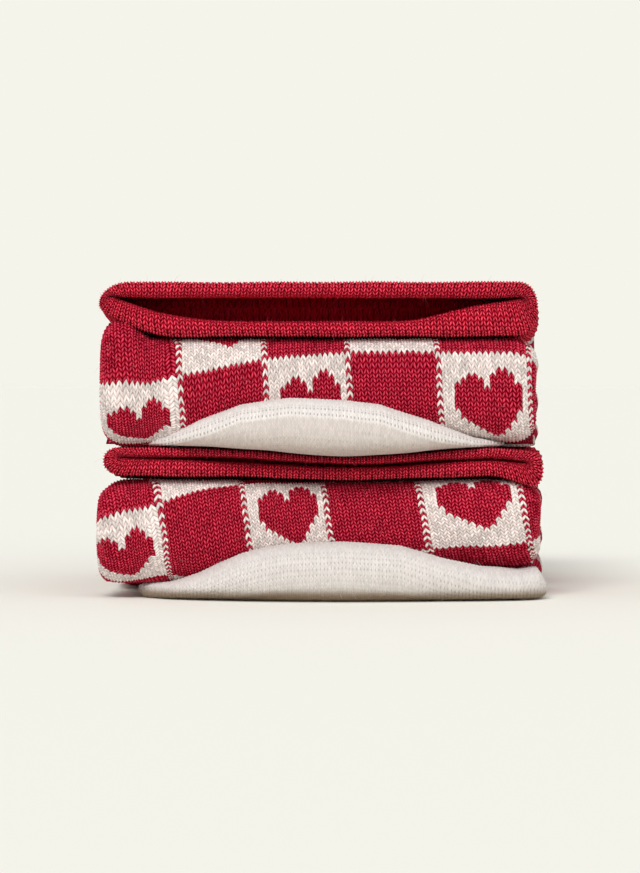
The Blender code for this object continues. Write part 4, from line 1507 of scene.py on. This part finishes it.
@dataclass
class StrayFibres:
    """Short loose fibres on one sock, as one joined mesh."""

    name: str
    count: int = 800
    thick: float = 0.018
    lengths: Tuple[float, float] = (0.7, 2.8)
    stand: Tuple[float, float] = (0.25, 0.75)   # share of its length that one stands off
    joints: int = 7             # points along one
    seed: int = 7

    def build(self, hosts: Sequence[Tuple[bpy.types.Object, float, float]]) -> bpy.types.Object:
        """Grows fibres from the knit's front.

        Args:
            hosts: each piece, its share of the fibres, and their lightness.

        Returns:
            The fibres.
        """
        rng = np.random.RandomState(self.seed)
        places, quads, shades, first = [], [], [], 0
        for piece, share, tone in hosts:
            for root, out, shade in self._roots(piece, int(self.count * share), tone, rng):
                rings = self._rings(self._strand(root, out, rng)).reshape(-1, 3)
                base = np.arange(len(rings) - 3).reshape(-1, 3) + first
                ahead = np.roll(base, -1, axis=1)
                quads.append(np.stack([base, ahead, ahead + 3, base + 3], -1).reshape(-1, 4))
                places.append(rings)
                shades.append(np.full(len(rings), shade))
                first += len(rings)
        mesh = bpy.data.meshes.new(self.name)
        spots = np.concatenate(places)
        spots[:, 2] = np.maximum(spots[:, 2], self.thick * MM)
        mesh.from_pydata(spots.tolist(), [], np.concatenate(quads).tolist())
        tone = mesh.attributes.new("shade", "FLOAT", "POINT")
        tone.data.foreach_set("value", np.concatenate(shades).astype(np.float32))
        mesh.shade_smooth()
        fibres = bpy.data.objects.new(self.name, mesh)
        bpy.context.scene.collection.objects.link(fibres)
        return fibres

    def _roots(self, piece: bpy.types.Object, count: int, tone: float,
               rng: np.random.RandomState) -> List[Tuple[Array, Array, float]]:
        """Places where fibres start, the way out, and their lightness."""
        faces = piece.data.polygons
        centres, normals = np.zeros((2, len(faces) * 3))
        faces.foreach_get("center", centres)
        faces.foreach_get("normal", normals)
        centres, normals = centres.reshape(-1, 3), normals.reshape(-1, 3)
        front = np.nonzero(normals[:, 1] < 0.25)[0]
        return [(centres[k], normals[k], tone) for k in rng.choice(front, count)]

    def _strand(self, root: Array, out: Array, rng: np.random.RandomState) -> Array:
        """Middle line of one curling fibre."""
        length = rng.uniform(*self.lengths) * MM
        aside = rng.normal(size=3)
        aside -= out * float(aside @ out)
        aside /= np.linalg.norm(aside)
        bend = np.cross(out, aside) * rng.uniform(-1.0, 1.0)
        t = np.linspace(0.0, 1.0, self.joints)[:, None]
        lift = rng.uniform(*self.stand)
        return (root + out * length * lift * (t - 0.45 * t * t)
                + aside * length * 0.8 * t + bend * length * t * t * 0.6)

    def _rings(self, points: Array) -> Array:
        """Three points round each point of the middle line."""
        way = np.gradient(points, axis=0)
        way /= np.linalg.norm(way, axis=1, keepdims=True)
        side = np.cross(way, np.array([0.31, 0.52, 0.79]))
        side /= np.linalg.norm(side, axis=1, keepdims=True)
        other = np.cross(way, side)
        taper = np.linspace(1.0, 0.35, len(points))[:, None, None]
        turn = np.arange(3) * math.tau / 3.0
        ring = (side[:, None] * np.cos(turn)[None, :, None]
                + other[:, None] * np.sin(turn)[None, :, None])
        return points[:, None] + ring * taper * self.thick * MM


@dataclass(frozen=True)
class Studio:
    """Pale floor, soft light and the camera at the photograph's angle."""

    pixel: float = 0.205            # millimetres of the front plane to a pixel
    picture: Tuple[int, int] = (640, 873)
    distance: float = 700.0         # from the camera to the front plane
    front: float = Y_FRONT - MIDDLE_Y
    eye_height: float = 49.0
    look_height: float = 33.5
    middle: float = -2.3
    sensor: float = 24.0
    paper: str = "#F5F4EB"
    room: float = 0.60              # strength of the light from all round

    def camera(self) -> None:
        """Sets the camera up."""
        data = bpy.data.cameras.new("camera")
        data.sensor_fit = "VERTICAL"
        data.sensor_height = self.sensor
        tall = self.picture[1] * self.pixel
        reach = math.hypot(self.distance, self.eye_height - self.look_height)
        data.lens = self.sensor * reach / tall
        data.clip_start, data.clip_end = 0.01, 20.0
        camera = bpy.data.objects.new("camera", data)
        camera.location = Vector((self.middle, self.front - self.distance,
                                  self.eye_height)) * MM
        aim = Vector((self.middle, self.front, self.look_height)) * MM
        camera.rotation_euler = (aim - camera.location).to_track_quat("-Z", "Y").to_euler()
        bpy.context.scene.collection.objects.link(camera)
        bpy.context.scene.camera = camera

    def floor(self) -> None:
        """Lays the pale floor."""
        bpy.ops.mesh.primitive_circle_add(vertices=96, radius=6.0, fill_type="NGON")
        floor = bpy.context.object
        floor.name = "floor"
        r = Recipe("matt_paper_floor")
        grain = r.add("TexNoise", r.add("TexCoord", out=3), None, 600.0, 2.0)
        light = r.calc("MULTIPLY_ADD", grain, 0.004, 0.998)
        colour = r.scaled(linear(self.paper)[:3], light)
        r.finish(colour, grain, 0.02, 0.01, 1.0, 0.0, "#FFFFFF")
        floor.data.materials.append(r.material)

    def backdrop(self) -> None:
        """Stands a pale evenly lit wall all round, which lights nothing."""
        bpy.ops.mesh.primitive_cylinder_add(vertices=96, radius=5.9, depth=12.0,
                                            end_fill_type="NOTHING")
        wall = bpy.context.object
        wall.name = "backdrop"
        r = Recipe("evenly_lit_paper")
        r.add("OutputMaterial", r.add("Emission", linear(self.paper), 1.0))
        wall.data.materials.append(r.material)
        wall.visible_diffuse = False
        wall.visible_glossy = False
        wall.visible_shadow = False

    def lights(self) -> None:
        """Soft light from all round, and a broad key from the upper left."""
        world = bpy.data.worlds.new("pale_room")
        world.use_nodes = True
        sky = world.node_tree.nodes["Background"]
        sky.inputs["Color"].default_value = (1.0, 1.0, 1.0, 1.0)
        sky.inputs["Strength"].default_value = self.room
        bpy.context.scene.world = world
        for name, strength, spread, turn in (
                ("key", 1.58, 25.0, (46.0, 0.0, -16.0)),
                ("fill", 0.48, 60.0, (70.0, 0.0, 30.0))):
            data = bpy.data.lights.new(name, "SUN")
            data.energy = strength
            data.angle = math.radians(spread)
            lamp = bpy.data.objects.new(name, data)
            lamp.rotation_euler = [math.radians(part) for part in turn]
            bpy.context.scene.collection.objects.link(lamp)
        bpy.context.scene.view_settings.view_transform = "Standard"


@dataclass
class Sock:
    """One folded sock: its cuff, its folded tube, its toe and its fuzz."""

    shape: SockShape

    def build(self, finishes: Dict[Slot, bpy.types.Material],
              fibre: bpy.types.Material) -> List[bpy.types.Object]:
        """Makes the sock's pieces and dresses them.

        Args:
            finishes: materials by the record's slot.
            fibre: material of the loose fibres.

        Returns:
            The pieces.
        """
        name = self.shape.name
        tube, tip = LegTube(self.shape), Toe(self.shape)
        leg, cuff, toe = tube.build(), Cuff(self.shape).build(), tip.build()
        fuzz = StrayFibres(name + "_stray_fibres").build(
            ((leg, 0.45, 0.25), (cuff, 0.40, 0.1), (toe, 0.15, 1.0)))
        for piece, slot, finish in ((leg, Slot.CHECK, finishes[Slot.CHECK]),
                                    (cuff, Slot.CUFF, finishes[Slot.CUFF]),
                                    (toe, Slot.TOE, finishes[Slot.TOE]),
                                    (fuzz, Slot.CHECK, fibre)):
            piece.data.materials.append(finish)
            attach(piece, "root")
        for piece, node in ((leg, "_leg_and_foot"), (cuff, "_cuff"), (toe, "_toe")):
            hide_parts(name + node)
        tip.flat
        return [leg, cuff, toe, fuzz]


# Each row: place round the tube, millimetres from the cuff, turn, length, width, depth.
LOWER_CREASES = tuple(Crease(*row) for row in (
    (16.0, 128.0, 80.0, 34.0, 7.0, 0.40), (31.0, 133.0, 96.0, 26.0, 6.0, 0.30),
    (57.0, 129.0, 84.0, 30.0, 8.0, 0.36), (72.0, 137.0, 70.0, 22.0, 6.0, 0.45),
    (4.0, 142.0, 35.0, 24.0, 5.0, 0.45), (96.0, 58.0, 78.0, 30.0, 6.0, 0.55),
    (108.0, 62.0, 96.0, 24.0, 5.0, 0.40), (119.0, 55.0, 85.0, 36.0, 8.0, 0.60),
    (133.0, 61.0, 104.0, 27.0, 6.0, 0.45), (103.0, 222.0, 84.0, 26.0, 7.0, 0.50),
    (124.0, 226.0, 98.0, 32.0, 6.0, 0.45), (87.0, 44.0, 12.0, 26.0, 4.5, 0.45),
    (88.0, 96.0, 18.0, 30.0, 5.0, 0.50), (146.0, 38.0, -14.0, 28.0, 5.0, 0.45),
    (145.0, 92.0, 8.0, 24.0, 4.0, 0.40), (86.0, 186.0, -10.0, 30.0, 5.0, 0.45),
    (144.0, 196.0, 16.0, 26.0, 4.5, 0.45), (112.0, 16.0, 58.0, 22.0, 6.0, 0.35),
))
UPPER_CREASES = tuple(Crease(*row) for row in (
    (14.0, 131.0, 98.0, 30.0, 7.0, 0.40), (27.0, 126.0, 78.0, 24.0, 6.0, 0.30),
    (44.0, 130.0, 88.0, 32.0, 9.0, 0.34), (66.0, 134.0, 100.0, 26.0, 7.0, 0.40),
    (79.0, 128.0, 74.0, 24.0, 5.0, 0.50), (3.0, 121.0, 32.0, 20.0, 5.0, 0.50),
    (93.0, 60.0, 98.0, 26.0, 6.0, 0.50), (105.0, 56.0, 80.0, 34.0, 7.0, 0.60),
    (121.0, 63.0, 92.0, 28.0, 5.0, 0.40), (136.0, 57.0, 76.0, 30.0, 7.0, 0.55),
    (98.0, 224.0, 96.0, 30.0, 6.0, 0.45), (117.0, 221.0, 82.0, 27.0, 7.0, 0.55),
    (134.0, 228.0, 90.0, 24.0, 5.0, 0.40), (88.0, 40.0, -12.0, 30.0, 5.0, 0.50),
    (87.0, 92.0, 10.0, 26.0, 4.5, 0.45), (146.0, 48.0, 14.0, 24.0, 4.5, 0.45),
    (145.0, 100.0, -9.0, 30.0, 5.0, 0.50), (108.0, 20.0, 44.0, 26.0, 6.0, 0.35),
    (126.0, 14.0, -38.0, 20.0, 5.0, 0.30),
))
LOWER = SockShape(
    name="lower", heights=HEIGHTS_LOWER, toe_rows=TOE_LOWER, half_width=45.6,
    cuff_half_width=45.3, middle=-0.9, cuff_middle=0.4, mouth_half_width=41.5,
    mouth_middle=0.4, wall_over=1.9, mouth_height=0.8, mouth_depth=12.0, mouth_fall=0.0,
    left_foot=1.6, left_edge=1.15, right_edge=1.15,
    columns=(-31.7, -14.6, 2.2, 21.9, 42.8), course=0.75, row_at=29.6, wale_lean=0.17,
    fold_lift=0.7, corner_lift=0.0, cuff_lift=0.9, end_droop=3.4, end_curl=2.4, end_tuck=2.5,
    left_margin=3.2, toe_painted_light=0.9,
    foot_sag=((-46.0, 2.5), (-34.0, 2.2), (-25.0, 1.2), (-15.0, 0.0), (28.0, 0.0),
              (33.0, 1.0), (42.0, 1.2), (46.0, 0.3)), floor_rise=0.0, row_slack=0.0,
    foot_from=3.05, foot_span=12.0, foot_bunch=0.075, foot_slack=0.26, creases=LOWER_CREASES,
    toe_seams=((0.5, 0.4), (2.0, 0.55), (3.5, 0.65), (5.0, 0.65), (6.5, 0.5), (8.0, 0.35)),
    toe_band=9.0, toe_shade=1.0,
    droop=((-46.0, 18.8), (-44.0, 18.4), (-38.3, 17.8), (-34.3, 17.0), (-32.0, 16.3),
           (-30.3, 15.8), (-26.0, 14.3), (-15.0, 11.6), (-6.0, 10.4), (-3.0, 10.1),
           (4.0, 9.5), (10.0, 9.2), (21.0, 8.6), (42.0, 7.3)))
UPPER = SockShape(
    name="upper", heights=HEIGHTS_UPPER, toe_rows=TOE_UPPER, half_width=44.8,
    cuff_half_width=45.1, middle=-1.0, cuff_middle=-0.6, mouth_half_width=42.1,
    mouth_middle=-1.0, wall_over=3.2, mouth_height=4.9, mouth_depth=36.0, mouth_fall=0.1,
    left_foot=3.4, left_edge=1.15, right_edge=0.75, columns=(-28.1, -10.7, 6.4, 24.9),
    course=0.72, row_at=49.35, wale_lean=0.075, fold_lift=1.8, corner_lift=4.2,
    cuff_lift=0.0, end_droop=0.0, end_curl=0.4, end_tuck=3.5, left_margin=3.4, toe_painted_light=1.0,
    foot_sag=((-46.0, 4.8), (-34.0, 4.5), (-26.0, 2.4), (-20.0, 0.4), (18.0, 0.2),
              (30.0, 1.6), (38.0, 2.8), (46.0, 3.4)), floor_rise=2.6, row_slack=0.25,
    foot_from=2.2, foot_span=8.0, foot_bunch=0.16, foot_slack=0.0, creases=UPPER_CREASES,
    toe_seams=TOE_SEAMS, toe_band=2.2, toe_shade=0.3,
    droop=((-46.0, 6.5), (-41.0, 6.5), (-36.0, 6.0), (-32.0, 5.0), (-28.5, 4.0),
           (-27.0, 4.2), (-11.0, 1.3), (-3.0, 0.8), (2.8, 0.4), (5.8, 0.15),
           (15.0, 0.0), (25.0, 0.2), (43.0, 0.2)))


def main() -> None:
    """Builds the pair of socks in its studio."""
    bpy.ops.object.select_all(action="DESELECT")
    studio = Studio()
    studio.camera()
    studio.floor()
    studio.backdrop()
    studio.lights()
    finishes = {Slot.CHECK: CheckedKnit().material(), Slot.CUFF: RibbedKnit().material()}
    fibre = FibreFuzz().material()
    for shape in (LOWER, UPPER):
        toe = "mercerised_cotton_%s_toe_knit" % shape.name
        finishes[Slot.TOE] = ToeKnit(name=toe, seams=shape.toe_seams,
                                     band=shape.toe_band, tone=shape.toe_painted_light).material()
        for piece in Sock(shape).build(finishes, fibre):
            piece.data.calc_loop_triangles()
            LOG.info("%s: %d triangles", piece.name, len(piece.data.loop_triangles))


if __name__ == "__main__":
    logging.basicConfig(level=logging.INFO, format="%(name)s: %(message)s", stream=sys.stdout)
    main()
